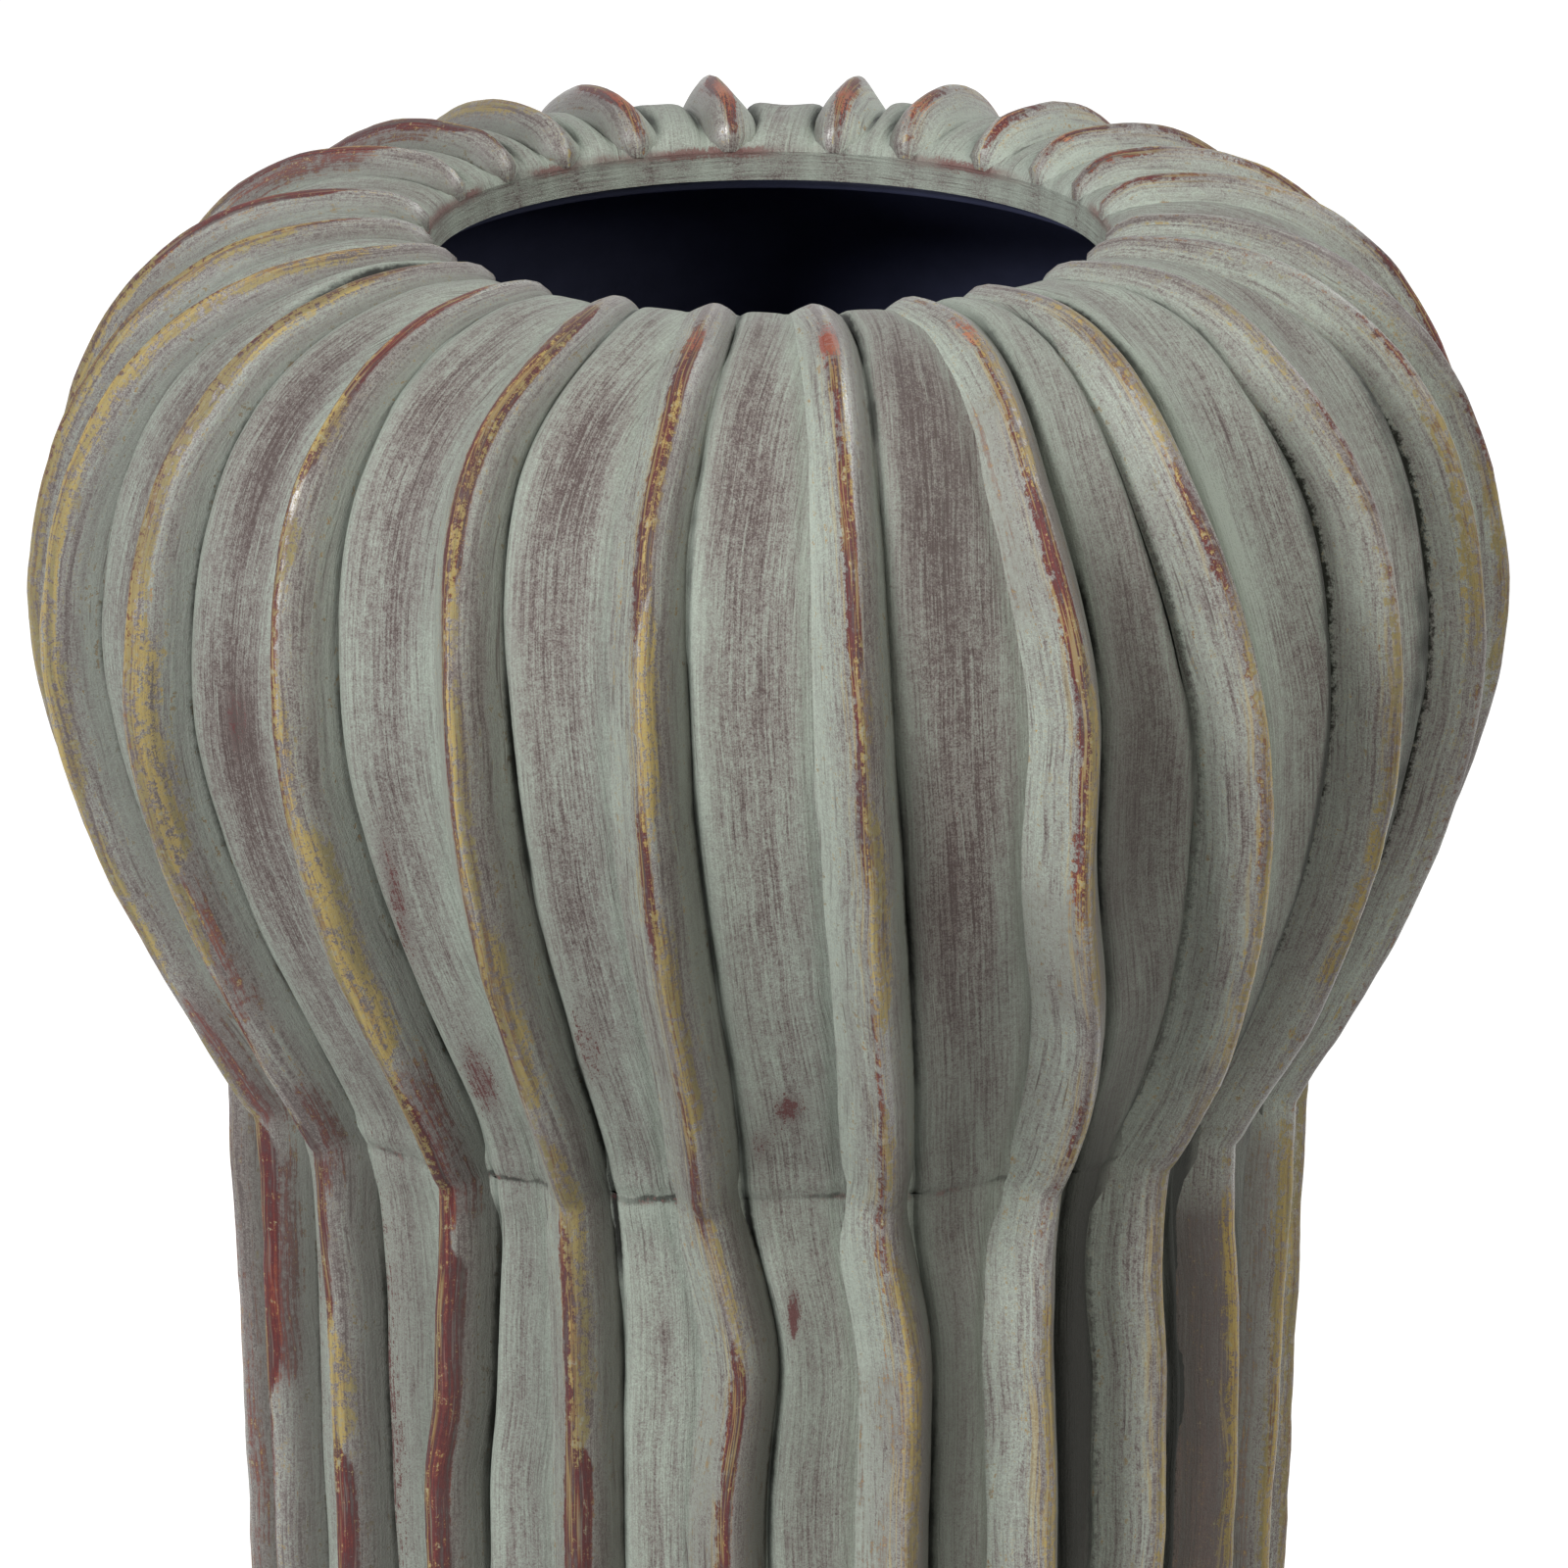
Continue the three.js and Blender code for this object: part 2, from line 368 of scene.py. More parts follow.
class Wall:
    """Reads the wall's line by distance along it."""

    soften_steps = 9

    def __init__(self, line: WallLine) -> None:
        """Measures the line.

        Args:
            line: the wall's sizes.
        """
        self.line = line
        share = np.linspace(0.0, 1.0, line.samples)[:, None]
        points = [np.array([[line.foot_radius, line.rib_foot_lift]])]
        tangents = [np.array([[0.0, 1.0]])]
        for controls in line.controls():
            a, b, c, d = np.array(controls, float)
            rest = 1.0 - share
            points.append(rest**3 * a + 3 * rest**2 * share * b + 3 * rest * share**2 * c + share**3 * d)
            slope = rest**2 * (b - a) + 2 * rest * share * (c - b) + share**2 * (d - c)
            tangents.append(slope / np.linalg.norm(slope, axis=1)[:, None])
        self.points = np.vstack(points)
        self.tangents = np.vstack(tangents)
        steps = np.linalg.norm(np.diff(self.points, axis=0), axis=1)
        self.along = np.concatenate([[0.0], np.cumsum(steps)])
        ends = [line.samples * (i + 1) for i in range(len(line.controls()))]
        self.waist, self.belly, self.shoulder, self.tip = (float(self.along[i]) for i in ends)
        self.settle = self.waist - line.rib_settle

    def at(self, along: np.ndarray, soften: float = 0.0) -> tuple[np.ndarray, np.ndarray]:
        """Reads the line at distances along it.

        Args:
            along: distances in millimetres.
            soften: distance either side over which the outward direction is averaged.

        Returns:
            Points as (radius, height) and unit outward directions, one row each.
        """
        point = np.stack([np.interp(along, self.along, self.points[:, i]) for i in (0, 1)], 1)
        around = np.linspace(-soften, soften, self.soften_steps) if soften else np.zeros(1)
        tangent = np.zeros_like(point)
        for shift in around:
            place = np.clip(along + shift, 0.0, self.tip)
            tangent += np.stack([np.interp(place, self.along, self.tangents[:, i]) for i in (0, 1)], 1)
        tangent /= np.linalg.norm(tangent, axis=1)[:, None]
        return point, np.stack([tangent[:, 1], -tangent[:, 0]], 1)


def smooth_through(knots: Knots, places: np.ndarray) -> np.ndarray:
    """Reads a smooth curve through (place, value) knots, with level ends.

    Args:
        knots: at least two, in order of place.
        places: where to read it.

    Returns:
        The value at each place.
    """
    x, y = np.array(knots, float).T
    slope = np.zeros(len(x))
    slope[1:-1] = (y[2:] - y[:-2]) / (x[2:] - x[:-2])
    k = np.clip(np.searchsorted(x, places) - 1, 0, len(x) - 2)
    span = x[k + 1] - x[k]
    t = np.clip((places - x[k]) / span, 0.0, 1.0)
    blend = t * t * (3 - 2 * t)
    lead = t * (1 - t) ** 2 * span * slope[k]
    trail = t * t * (t - 1) * span * slope[k + 1]
    return y[k] + (y[k + 1] - y[k]) * blend + lead + trail


# ---- where the ribs run


# How far each rib wanders from its even place, as shares of the space from rib to rib, at the
# shoulder, belly, waist and column. One row per rib, from the left edge round the front.
RIB_SWAY = (
    (0.17, 0.0, 0.05, 0.0),
    (0.03, -0.3, 0.05, 0.17),
    (-0.13, -0.18, 0.08, 0.19),
    (-0.22, -0.05, 0.29, 0.17),
    (-0.15, -0.09, 0.15, 0.22),
    (-0.08, -0.11, 0.07, 0.27),
    (-0.05, -0.09, 0.23, 0.41),
    (-0.02, -0.05, 0.4, 0.38),
    (-0.12, -0.1, 0.33, 0.3),
    (0.1, 0.0, 0.09, 0.12),
    (0.1, 0.13, 0.17, 0.1),
    (-0.07, 0.0, 0.07, 0.07),
    (0.3, 0.05, -0.06, 0.1),
    (0.17, -0.1, 0.1, -0.08),
    (0.03, -0.08, 0.04, 0.12),
    (-0.1, 0.06, -0.12, -0.05),
    (-0.1, -0.05, 0.09, 0.14),
    (-0.27, -0.12, -0.05, 0.06),
    (-0.07, 0.04, 0.12, -0.1),
    (-0.03, 0.08, -0.08, 0.07),
    (-0.1, -0.04, 0.06, 0.15),
    (-0.23, 0.07, -0.1, -0.06),
    (-0.23, 0.03, 0.08, 0.05),
    (0.2, 0.06, -0.04, 0.1),
)

# Smaller kinks of single ribs: rib number to (distance along the wall, shift to the right), mm
RIB_KINKS = {
    2: ((266, 2.5), (320, -2.0), (377, -1.0), (430, -5.0), (470, 2.0)),
    3: ((197, -1.2), (266, 0.3), (303, 2.2), (384, 1.0), (430, -4.5), (470, -2.0)),
    4: ((199, -1.8), (226, 1.0), (266, 0.5), (292, 2.0), (377, 2.0), (423, -3.0), (465, -2.0)),
    5: ((197, -0.6), (260, 1.0), (324, 2.8), (374, 3.2), (430, -2.8), (467, 1.2)),
    6: ((199, -1.1), (236, 2.0), (266, 0.7), (303, 1.9), (377, 0.4), (420, -1.0), (465, 0.4)),
    7: ((236, 0.6), (260, 0.1), (275, 1.0), (377, 0.0), (440, 0.5), (470, 0.8)),
    8: ((190, 2.0), (252, -1.2), (280, 2.0), (311, 3.0), (349, -0.6), (387, 2.6), (430, 0.5), (472, 2.2)),
    9: ((182, 2.8), (222, 2.0), (253, -1.7), (289, 3.7), (320, 4.0), (378, 2.5), (424, -0.4), (470, 2.4)),
    10: ((175, 4.0), (220, 2.8), (262, -1.0), (300, 3.0), (377, -0.2), (410, 3.2), (440, 2.0), (464, 4.0)),
    11: ((368, -4.0), (390, 0.0), (425, 6.0), (450, 5.0)),
}

# How much broader than the others single ribs are below the head
RIB_BREADTH = {8: 1.08, 9: 1.30, 10: 1.25, 11: 1.20, 12: 1.15}

# The column of RIB_SWAY that each level reads
SWAY_COLUMN = {Level.TIP: 0, Level.SHOULDER: 0, Level.BELLY: 1, Level.WAIST: 2, Level.COLUMN: 3}

# How far before its first kink a rib starts to leave its smooth line, mm
KINK_LEAD = 60.0


@dataclass(frozen=True)
class RibLayout:
    """Sizes that all ribs share, in millimetres, and where each one runs."""

    wall: Wall
    count: int = 24
    spread: float = math.radians(6.5)
    back_rise: float = 2.1
    height: dict[Level, float] = field(
        default_factory=lambda: {
            Level.COLUMN: 9.5,
            Level.WAIST: 9.8,
            Level.BELLY: 11.5,
            Level.SHOULDER: 4.2,
            Level.TIP: 3.0,
        }
    )
    width: dict[Level, float] = field(
        default_factory=lambda: {
            Level.COLUMN: 16.0,
            Level.WAIST: 16.0,
            Level.BELLY: 17.0,
            Level.SHOULDER: 12.0,
            Level.TIP: 10.0,
        }
    )

    @property
    def pitch(self) -> float:
        """The angle from one rib to the next."""
        return 2 * math.pi / self.count

    def angle_at(self, index: int, level: Level) -> float:
        """Places a rib at a level.

        Args:
            index: the rib, counted from 0.
            level: the height on the wall.

        Returns:
            Its angle from the front, growing towards +X.
        """
        even = (index + 0.5) * self.pitch - math.pi / 2
        column = SWAY_COLUMN[level]
        spread = self.spread if column else 0.0
        return even + spread * math.sin(even) + RIB_SWAY[index][column] * self.pitch

    def knots(self, value: Callable[[Level], float]) -> list[tuple[float, float]]:
        """Sets a value at each level of the wall.

        Args:
            value: gives the value at a level.

        Returns:
            (distance along the wall, value) knots in order.
        """
        wall = self.wall
        places = (
            (Level.COLUMN, 0.0),
            (Level.COLUMN, wall.settle),
            (Level.WAIST, wall.waist),
            (Level.BELLY, wall.belly),
            (Level.SHOULDER, wall.shoulder),
            (Level.TIP, wall.tip),
        )
        return [(place, value(level)) for level, place in places]

    def angles(self, index: int, along: np.ndarray) -> np.ndarray:
        """Follows a rib along the wall.

        Args:
            index: the rib, counted from 0.
            along: distances along the wall.

        Returns:
            The rib's angle at each distance.
        """
        angles = smooth_through(self.knots(lambda level: self.angle_at(index, level)), along)
        kinks = RIB_KINKS.get(index + 1)
        if kinks:
            knots = [(kinks[0][0] - KINK_LEAD, 0.0), *kinks, (self.wall.tip, 0.0)]
            angles = angles + smooth_through(knots, along) / self.wall.at(along)[0][:, 0]
        return angles

    def heights(self, index: int, along: np.ndarray) -> np.ndarray:
        """Measures how far a rib stands off the wall, lower at the front of the mouth.

        Args:
            index: the rib, counted from 0.
            along: distances along the wall.

        Returns:
            The rib's height at each distance.
        """

        def value(level: Level) -> float:
            """Returns the rib's height at a level."""
            rise = self.back_rise if level is Level.SHOULDER else 0.0
            return self.height[level] - rise * math.cos(self.angle_at(index, level))

        return smooth_through(self.knots(value), along)

    def widths(self, index: int, along: np.ndarray) -> np.ndarray:
        """Measures how wide a rib is.

        Args:
            index: the rib, counted from 0.
            along: distances along the wall.

        Returns:
            The rib's width at each distance.
        """
        wall = self.wall
        below = np.clip((wall.belly - along) / (wall.belly - wall.waist), 0.0, 1.0)
        broader = (RIB_BREADTH.get(index % self.count + 1, 1.0) - 1.0) * below
        return smooth_through(self.knots(lambda level: self.width[level]), along) * (1.0 + broader)


# ---- paint


@dataclass(frozen=True)
class Palette:
    """Colours of the clay, the slips and the washes, and of painted shade, as linear values."""

    bare_clay: Colour = (0.225, 0.058, 0.038)
    oxblood: Colour = (0.096, 0.022, 0.024)
    russet: Colour = (0.134, 0.032, 0.032)
    maroon: Colour = (0.080, 0.038, 0.042)
    soot: Colour = (0.078, 0.056, 0.052)
    plum: Colour = (0.136, 0.113, 0.106)
    mauve: Colour = (0.200, 0.184, 0.168)
    grey: Colour = (0.246, 0.252, 0.226)
    sage: Colour = (0.286, 0.312, 0.272)
    mint: Colour = (0.352, 0.396, 0.344)
    olive: Colour = (0.235, 0.200, 0.095)
    ochre: Colour = (0.420, 0.318, 0.110)
    peach: Colour = (0.420, 0.205, 0.125)
    # Dark brush marks and pits, and also painted shade on the wall and on the ribs' shaded sides
    dirt_and_shade: Colour = (0.060, 0.056, 0.048)
    # Near black painted shade for the creases, the waist seam line and the deepest painted shadows
    crease: Colour = (0.014, 0.015, 0.012)
    lining: Colour = (0.052, 0.058, 0.108)


PALETTE = Palette()

# The wash from where it is rubbed away to where it lies thick
WASH_STOPS = (
    (0.0, PALETTE.soot),
    (0.20, PALETTE.plum),
    (0.40, PALETTE.mauve),
    (0.56, PALETTE.grey),
    (0.76, PALETTE.sage),
    (1.0, PALETTE.mint),
)

# The red slips from thin to thick, down to the clay
RUST_STOPS = (
    (0.05, PALETTE.plum),
    (0.32, PALETTE.maroon),
    (0.56, PALETTE.oxblood),
    (0.76, PALETTE.russet),
    (1.0, PALETTE.bare_clay),
)


@dataclass(frozen=True)
class Streak:
    """A noise drawn out along the strokes, in cells per millimetre across and along them."""

    across: float
    along: float
    detail: float
    rough: float


@dataclass(frozen=True)
class Grain:
    """A noise that lies in the clay, in cells per millimetre."""

    cells: float
    detail: float = 2.0
    rough: float = 0.5
    which: float = 0.0


BRISTLE = Streak(1.9, 0.045, 5.0, 0.75)
STROKE = Streak(0.42, 0.014, 3.0, 0.6)
SCRATCH = Streak(2.6, 0.060, 1.0, 0.5)
BLOTCH = Streak(0.065, 0.024, 4.0, 0.62)
SWAY = Grain(0.03, 1.0)
SPECK = Grain(1.5, 3.0, 0.75)
DAB = Grain(0.55, 3.0, 0.7)
GRIT = Grain(3.0, 1.0, 0.6)
OPEN_CREASE = Grain(0.022, 3.0, 0.7, 4.0)
LIP_PATCH = Grain(0.035, 2.0)
SEAM_GAP = Grain(0.05, 3.0, 0.7, 8.0)
SEAM_WAVE = Grain(0.06, 2.0, 0.6, 3.0)


@dataclass(frozen=True)
class Swings:
    """How far each kind of brush mark swings a value, either side of nothing."""

    bristle: float = 0.0
    stroke: float = 0.0
    blotch: float = 0.0
    dab: float = 0.0
    speck: float = 0.0
    grit: float = 0.0


@dataclass(frozen=True)
class Flow:
    """Sockets that say where a point lies on its piece, in millimetres."""

    lane: Socket
    along: Socket
    seed: Socket


def read_float(graph: Graph, name: str) -> Socket:
    """Returns a number that the mesh carries, in a shader tree."""
    node = graph.add("ShaderNodeAttribute", attribute_type="GEOMETRY", attribute_name=name)
    return node.outputs["Fac"]


def read_vector(graph: Graph, name: str) -> Socket:
    """Returns a vector that the mesh carries, in a shader tree."""
    node = graph.add("ShaderNodeAttribute", attribute_type="GEOMETRY", attribute_name=name)
    return node.outputs["Vector"]


class Brushwork:
    """The dry-brushed wash that every painted piece shares: bristle streaks, blotches, specks.

    Pairs of sizes say where a mask starts and is full.
    """

    lane_sway = 1.4
    seed_step = 7.3
    calming = 0.55
    wash_swings = Swings(bristle=1.15, stroke=0.36, blotch=0.46, dab=0.42, speck=0.58, grit=0.46)
    scratches = Patch(0.63, 0.72, 0.75)
    rubbed_blotches = (0.56, 0.44)
    bristle_lines = Patch(0.44, 0.30, 0.42)
    pale_hairs = Patch(0.37, 0.29, 0.55)
    hairy_strokes = (0.48, 0.60)
    pits = Patch(0.68, 0.80, 0.7)
    pitted_dabs = (0.52, 0.64)
    edge_bristle = 0.95
    edge_speck = 0.45
    edge_grit = 0.30
    deep_creases = (0.40, 0.62)
    mark_heights = (0.42, -0.12, 0.35, 0.22, 0.10)

    def __init__(self, graph: Graph, flow: Flow) -> None:
        """Reads the brush marks at a point.

        Args:
            graph: the material's nodes.
            flow: where the point lies on its piece.
        """
        self.graph = graph
        self.flow = flow
        self.place = graph.scaled(graph.add("ShaderNodeTexCoord").outputs["Object"], 1.0 / MM)
        self.lane = graph.total(flow.lane, graph.swing(self.grain(SWAY), self.lane_sway))
        self.bristle = self.streak(BRISTLE)
        self.stroke = self.streak(STROKE)
        self.scratch = self.streak(SCRATCH)
        self.blotch = self.streak(BLOTCH)
        self.speck = self.grain(SPECK, flow.seed)
        self.dab = self.grain(DAB, flow.seed)
        self.grit = self.grain(GRIT, flow.seed)

    def streak(self, kind: Streak) -> Socket:
        """Draws a noise out along the strokes.

        Args:
            kind: its sizes.

        Returns:
            The noise, from 0 to 1.
        """
        graph = self.graph
        x = graph.product(self.lane, kind.across)
        y = graph.product(self.flow.along, kind.along)
        place = graph.combine(x, y, graph.product(self.flow.seed, self.seed_step))
        return graph.noise(place, 1.0, kind.detail, kind.rough)

    def grain(self, kind: Grain, seed: Optional[Socket] = None) -> Socket:
        """Returns a noise that lies in the clay, from 0 to 1."""
        which = kind.which if seed is None else seed
        return self.graph.noise(self.place, kind.cells, kind.detail, kind.rough, which)

    def swings(self, reach: Swings) -> Socket:
        """Adds up the brush marks.

        Args:
            reach: how far each kind swings.

        Returns:
            Their sum, which swings either side of nothing.
        """
        marks = (
            (self.bristle, reach.bristle),
            (self.stroke, reach.stroke),
            (self.blotch, reach.blotch),
            (self.dab, reach.dab),
            (self.speck, reach.speck),
            (self.grit, reach.grit),
        )
        return self.graph.total(*(self.graph.swing(mark, far) for mark, far in marks if far))

    def coverage(self, base: Feed, calm: Feed) -> Socket:
        """Works out how thickly the wash covers.

        Args:
            base: the mean thickness, from 0 to 1.
            calm: 0 where the brush ran dry, 1 where the wash lies smooth.

        Returns:
            The thickness.
        """
        graph = self.graph
        lively = graph.rest(graph.product(calm, self.calming))
        return graph.total(base, graph.product(self.swings(self.wash_swings), lively))

    def wash(self, coverage: Feed) -> Socket:
        """Colours the wash over its slip, with scratches, dark lines, pale hairs and pits.

        Args:
            coverage: how thickly it covers.

        Returns:
            The colour.
        """
        graph = self.graph
        colour = graph.ramp(coverage, WASH_STOPS)
        rubbed = graph.smooth(self.blotch, *self.rubbed_blotches)
        scratched = graph.product(graph.patch(self.scratch, self.scratches), rubbed)
        colour = graph.tint(scratched, colour, PALETTE.soot)
        colour = graph.tint(graph.patch(self.bristle, self.bristle_lines), colour, PALETTE.dirt_and_shade)
        hairy = graph.smooth(self.stroke, *self.hairy_strokes)
        hairs = graph.product(graph.patch(self.scratch, self.pale_hairs), hairy)
        colour = graph.tint(hairs, colour, PALETTE.mint)
        pitted = graph.smooth(self.dab, *self.pitted_dabs)
        pits = graph.product(graph.patch(self.grit, self.pits), pitted)
        return graph.tint(pits, colour, PALETTE.dirt_and_shade)

    def broken(self, strength: Feed, patch: Patch) -> Socket:
        """Breaks up a soft mask as dry brushing does.

        Args:
            strength: how much of the paint shows, about 0 to 1.
            patch: how the brush lays it.

        Returns:
            The mask, from 0 to the paint's opacity.
        """
        reach = Swings(
            bristle=self.edge_bristle,
            dab=patch.dabs,
            speck=self.edge_speck * patch.specks,
            grit=self.edge_grit * patch.specks,
        )
        return self.graph.patch(self.graph.total(strength, self.swings(reach)), patch)

    def deep(self) -> Socket:
        """Returns where creases lie open, from 0 to 1."""
        return self.graph.smooth(self.grain(OPEN_CREASE), *self.deep_creases)

    def relief(self, extra: Feed) -> Socket:
        """Works out the surface's fine height.

        Args:
            extra: what else lifts or lowers it.

        Returns:
            The height, about 0 to 1.
        """
        graph = self.graph
        marks = (self.bristle, self.scratch, self.stroke, self.speck, self.grit)
        heights = (graph.product(mark, share) for mark, share in zip(marks, self.mark_heights))
        return graph.total(*heights, extra)


class Finish:
    """A material under construction around one Principled shader."""

    def __init__(self, name: str) -> None:
        """Starts the material.

        Args:
            name: the material's name.
        """
        self.material = bpy.data.materials.new(name)
        self.material.use_nodes = True
        self.material.node_tree.nodes.clear()
        self.graph = Graph(self.material.node_tree)

    def dress(self, colour: Feed, roughness: Feed, relief: Feed, depth: float, gloss: Feed = 0.24) -> None:
        """Fills the shader.

        Args:
            colour: the surface colour.
            roughness: the surface roughness.
            relief: fine height from 0 to 1.
            depth: how deep a relief of 1 stands, in metres.
            gloss: how strongly it mirrors, where 0.5 is common glaze or plastic.
        """
        bump = self.graph.add("ShaderNodeBump", {"Height": relief, "Strength": 1.0, "Distance": depth})
        feeds = {
            "Specular IOR Level": gloss,
            "Base Color": opaque(colour),
            "Roughness": roughness,
            "Normal": bump.outputs[0],
        }
        shader = self.graph.add("ShaderNodeBsdfPrincipled", feeds)
        self.graph.add("ShaderNodeOutputMaterial", {"Surface": shader.outputs[0]})


class PanelPaint:
    """Wash on the plain wall between the ribs: opaque mint beside them, mauve in the middle, with painted
    light and painted shade.

    Pairs of sizes say where a mask starts and is full, or give a line's start and its slope.
    """

    name = "brushed_wall_wash"
    cover = 0.49
    edge_cover = 0.46
    haze_cover = -0.30
    mint_reach = 4.2
    far_edge = 0.7
    edge_waver = Swings(stroke=3.0, dab=1.5)
    blood_strength = 0.78
    blood_patch = Patch(0.42, 0.64, 0.92)
    lip_patch = Patch(0.35, 0.75, 0.8)
    lip_patches = (0.42, 0.55)
    # Painted shade: shaded places darken towards a dark brown, and to near black where strongest; the
    # creases beside the ribs and the waist seam line are painted shade too
    painted_shade_opacity = 0.55
    deepest_painted_shade = Patch(1.0, 1.8, 0.75)
    crease_reach = 0.8
    crack_widening = 1.35
    fray = (0.3, 1.4)
    under_ribs = (0.1, 0.6)
    steady_cracks = Patch(1.0, 2.2, 0.9)
    steady_reach = (5.0, 3.0)
    shut_crease = 0.25
    crease_shows = (0.12, 0.6)
    seam_wave = 4.0
    seam_fray = 1.6
    seam_reach = 0.9
    seam_shows = (0.15, 0.7)
    seam_gaps = Patch(0.42, 0.62, 0.8)
    seam_rust = (0.5, 0.6)
    roughness = 0.50
    roughness_swings = Swings(speck=0.20, stroke=0.1)
    relief_depth = 0.00080
    blood_relief = -0.109

    def __init__(self, seam: float) -> None:
        """Reads the values that the wall's mesh carries.

        Args:
            seam: how far along the wall the head sits on the column.
        """
        self.seam = seam
        self.finish = Finish(self.name)
        self.graph = graph = self.finish.graph
        flow = Flow(read_float(graph, "lane"), read_float(graph, "along"), read_float(graph, "seed"))
        self.brush = Brushwork(graph, flow)
        self.right_of_rib, self.left_of_rib, ribbed = graph.separate(read_vector(graph, "tuck"))
        self.between = graph.smooth(ribbed, *self.under_ribs)
        self.haze, self.blood, self.lip = graph.separate(read_vector(graph, "stain"))
        self.painted_shade = read_float(graph, "painted_shade")
        self.crack = read_float(graph, "crack")

    def build(self) -> bpy.types.Material:
        """Lays the wash, the stains and the creases over each other.

        Returns:
            The material.
        """
        graph, brush = self.graph, self.brush
        colour = self.washed()
        bloodied = brush.broken(graph.product(self.blood, self.blood_strength), self.blood_patch)
        colour = graph.tint(bloodied, colour, PALETTE.oxblood)
        patches = graph.smooth(brush.grain(LIP_PATCH), *self.lip_patches)
        rubbed_lip = graph.product(brush.broken(self.lip, self.lip_patch), patches)
        colour = graph.tint(rubbed_lip, colour, PALETTE.russet)
        # Painted shade: shaded places, the creases beside the ribs and the waist seam line
        colour = graph.tint(graph.product(self.painted_shade, self.painted_shade_opacity), colour, PALETTE.dirt_and_shade)
        colour = graph.tint(graph.patch(self.painted_shade, self.deepest_painted_shade), colour, PALETTE.crease)
        colour = graph.tint(self.painted_crease_shade(), colour, PALETTE.crease)
        seam_colour = graph.tint(graph.smooth(brush.dab, *self.seam_rust), PALETTE.crease, PALETTE.russet)
        colour = graph.tint(self.seamed(), colour, seam_colour)
        roughness = graph.total(self.roughness, brush.swings(self.roughness_swings))
        relief = brush.relief(graph.product(bloodied, self.blood_relief))
        self.finish.dress(colour, roughness, relief, self.relief_depth)
        return self.finish.material

    def washed(self) -> Socket:
        """Lays the wash, thick beside the ribs and where light is painted, thin where the wall is hazed.

        Returns:
            The wash's colour.
        """
        graph, brush = self.graph, self.brush
        waver = brush.swings(self.edge_waver)
        near, far = (
            graph.fade(graph.math("MAXIMUM", graph.total(distance, waver), 0.0), self.mint_reach)
            for distance in (self.right_of_rib, self.left_of_rib)
        )
        edges = graph.math("MAXIMUM", near, graph.product(far, self.far_edge))
        base = graph.line(edges, self.cover, self.edge_cover)
        # Haze thins the wash; painted light comes in as negative haze and thickens it towards pale mint
        base = graph.total(base, graph.product(self.haze, self.haze_cover))
        return brush.wash(brush.coverage(base, edges))

    def painted_crease_shade(self) -> Socket:
        """Paints shade in the creases where the ribs meet the wall.

        Returns:
            How dark the painted crease shade is.
        """
        graph, brush = self.graph, self.brush
        crack = self.crack
        frayed = graph.line(brush.dab, *self.fray)
        crease = graph.product(graph.fade(self.right_of_rib, self.crease_reach), frayed)
        widening = graph.math("MAXIMUM", graph.product(crack, self.crack_widening), 1.0)
        share = graph.math("DIVIDE", self.left_of_rib, graph.product(widening, -self.crease_reach))
        cracked = graph.product(graph.math("EXPONENT", share), frayed, crack)
        crease = graph.product(graph.math("MAXIMUM", crease, cracked), self.between)
        beside = graph.smooth(self.left_of_rib, *self.steady_reach)
        steady = graph.product(graph.patch(crack, self.steady_cracks), beside)
        opened = graph.line(brush.deep(), self.shut_crease, 1.0 - self.shut_crease)
        depth = graph.math("MAXIMUM", opened, steady)
        return graph.product(graph.smooth(crease, *self.crease_shows), depth)

    def seamed(self) -> Socket:
        """Finds the broken line where the head sits on the column: painted shade in the waist crease, with
        russet specks.

        Returns:
            How far the line covers the wash.
        """
        graph, brush = self.graph, self.brush
        wave = graph.swing(brush.grain(SEAM_WAVE), self.seam_wave)
        above = graph.total(brush.flow.along, -self.seam, wave, graph.swing(brush.dab, self.seam_fray))
        line = graph.smooth(graph.fade(graph.math("ABSOLUTE", above), self.seam_reach), *self.seam_shows)
        return graph.product(line, graph.patch(brush.grain(SEAM_GAP), self.seam_gaps), self.between)


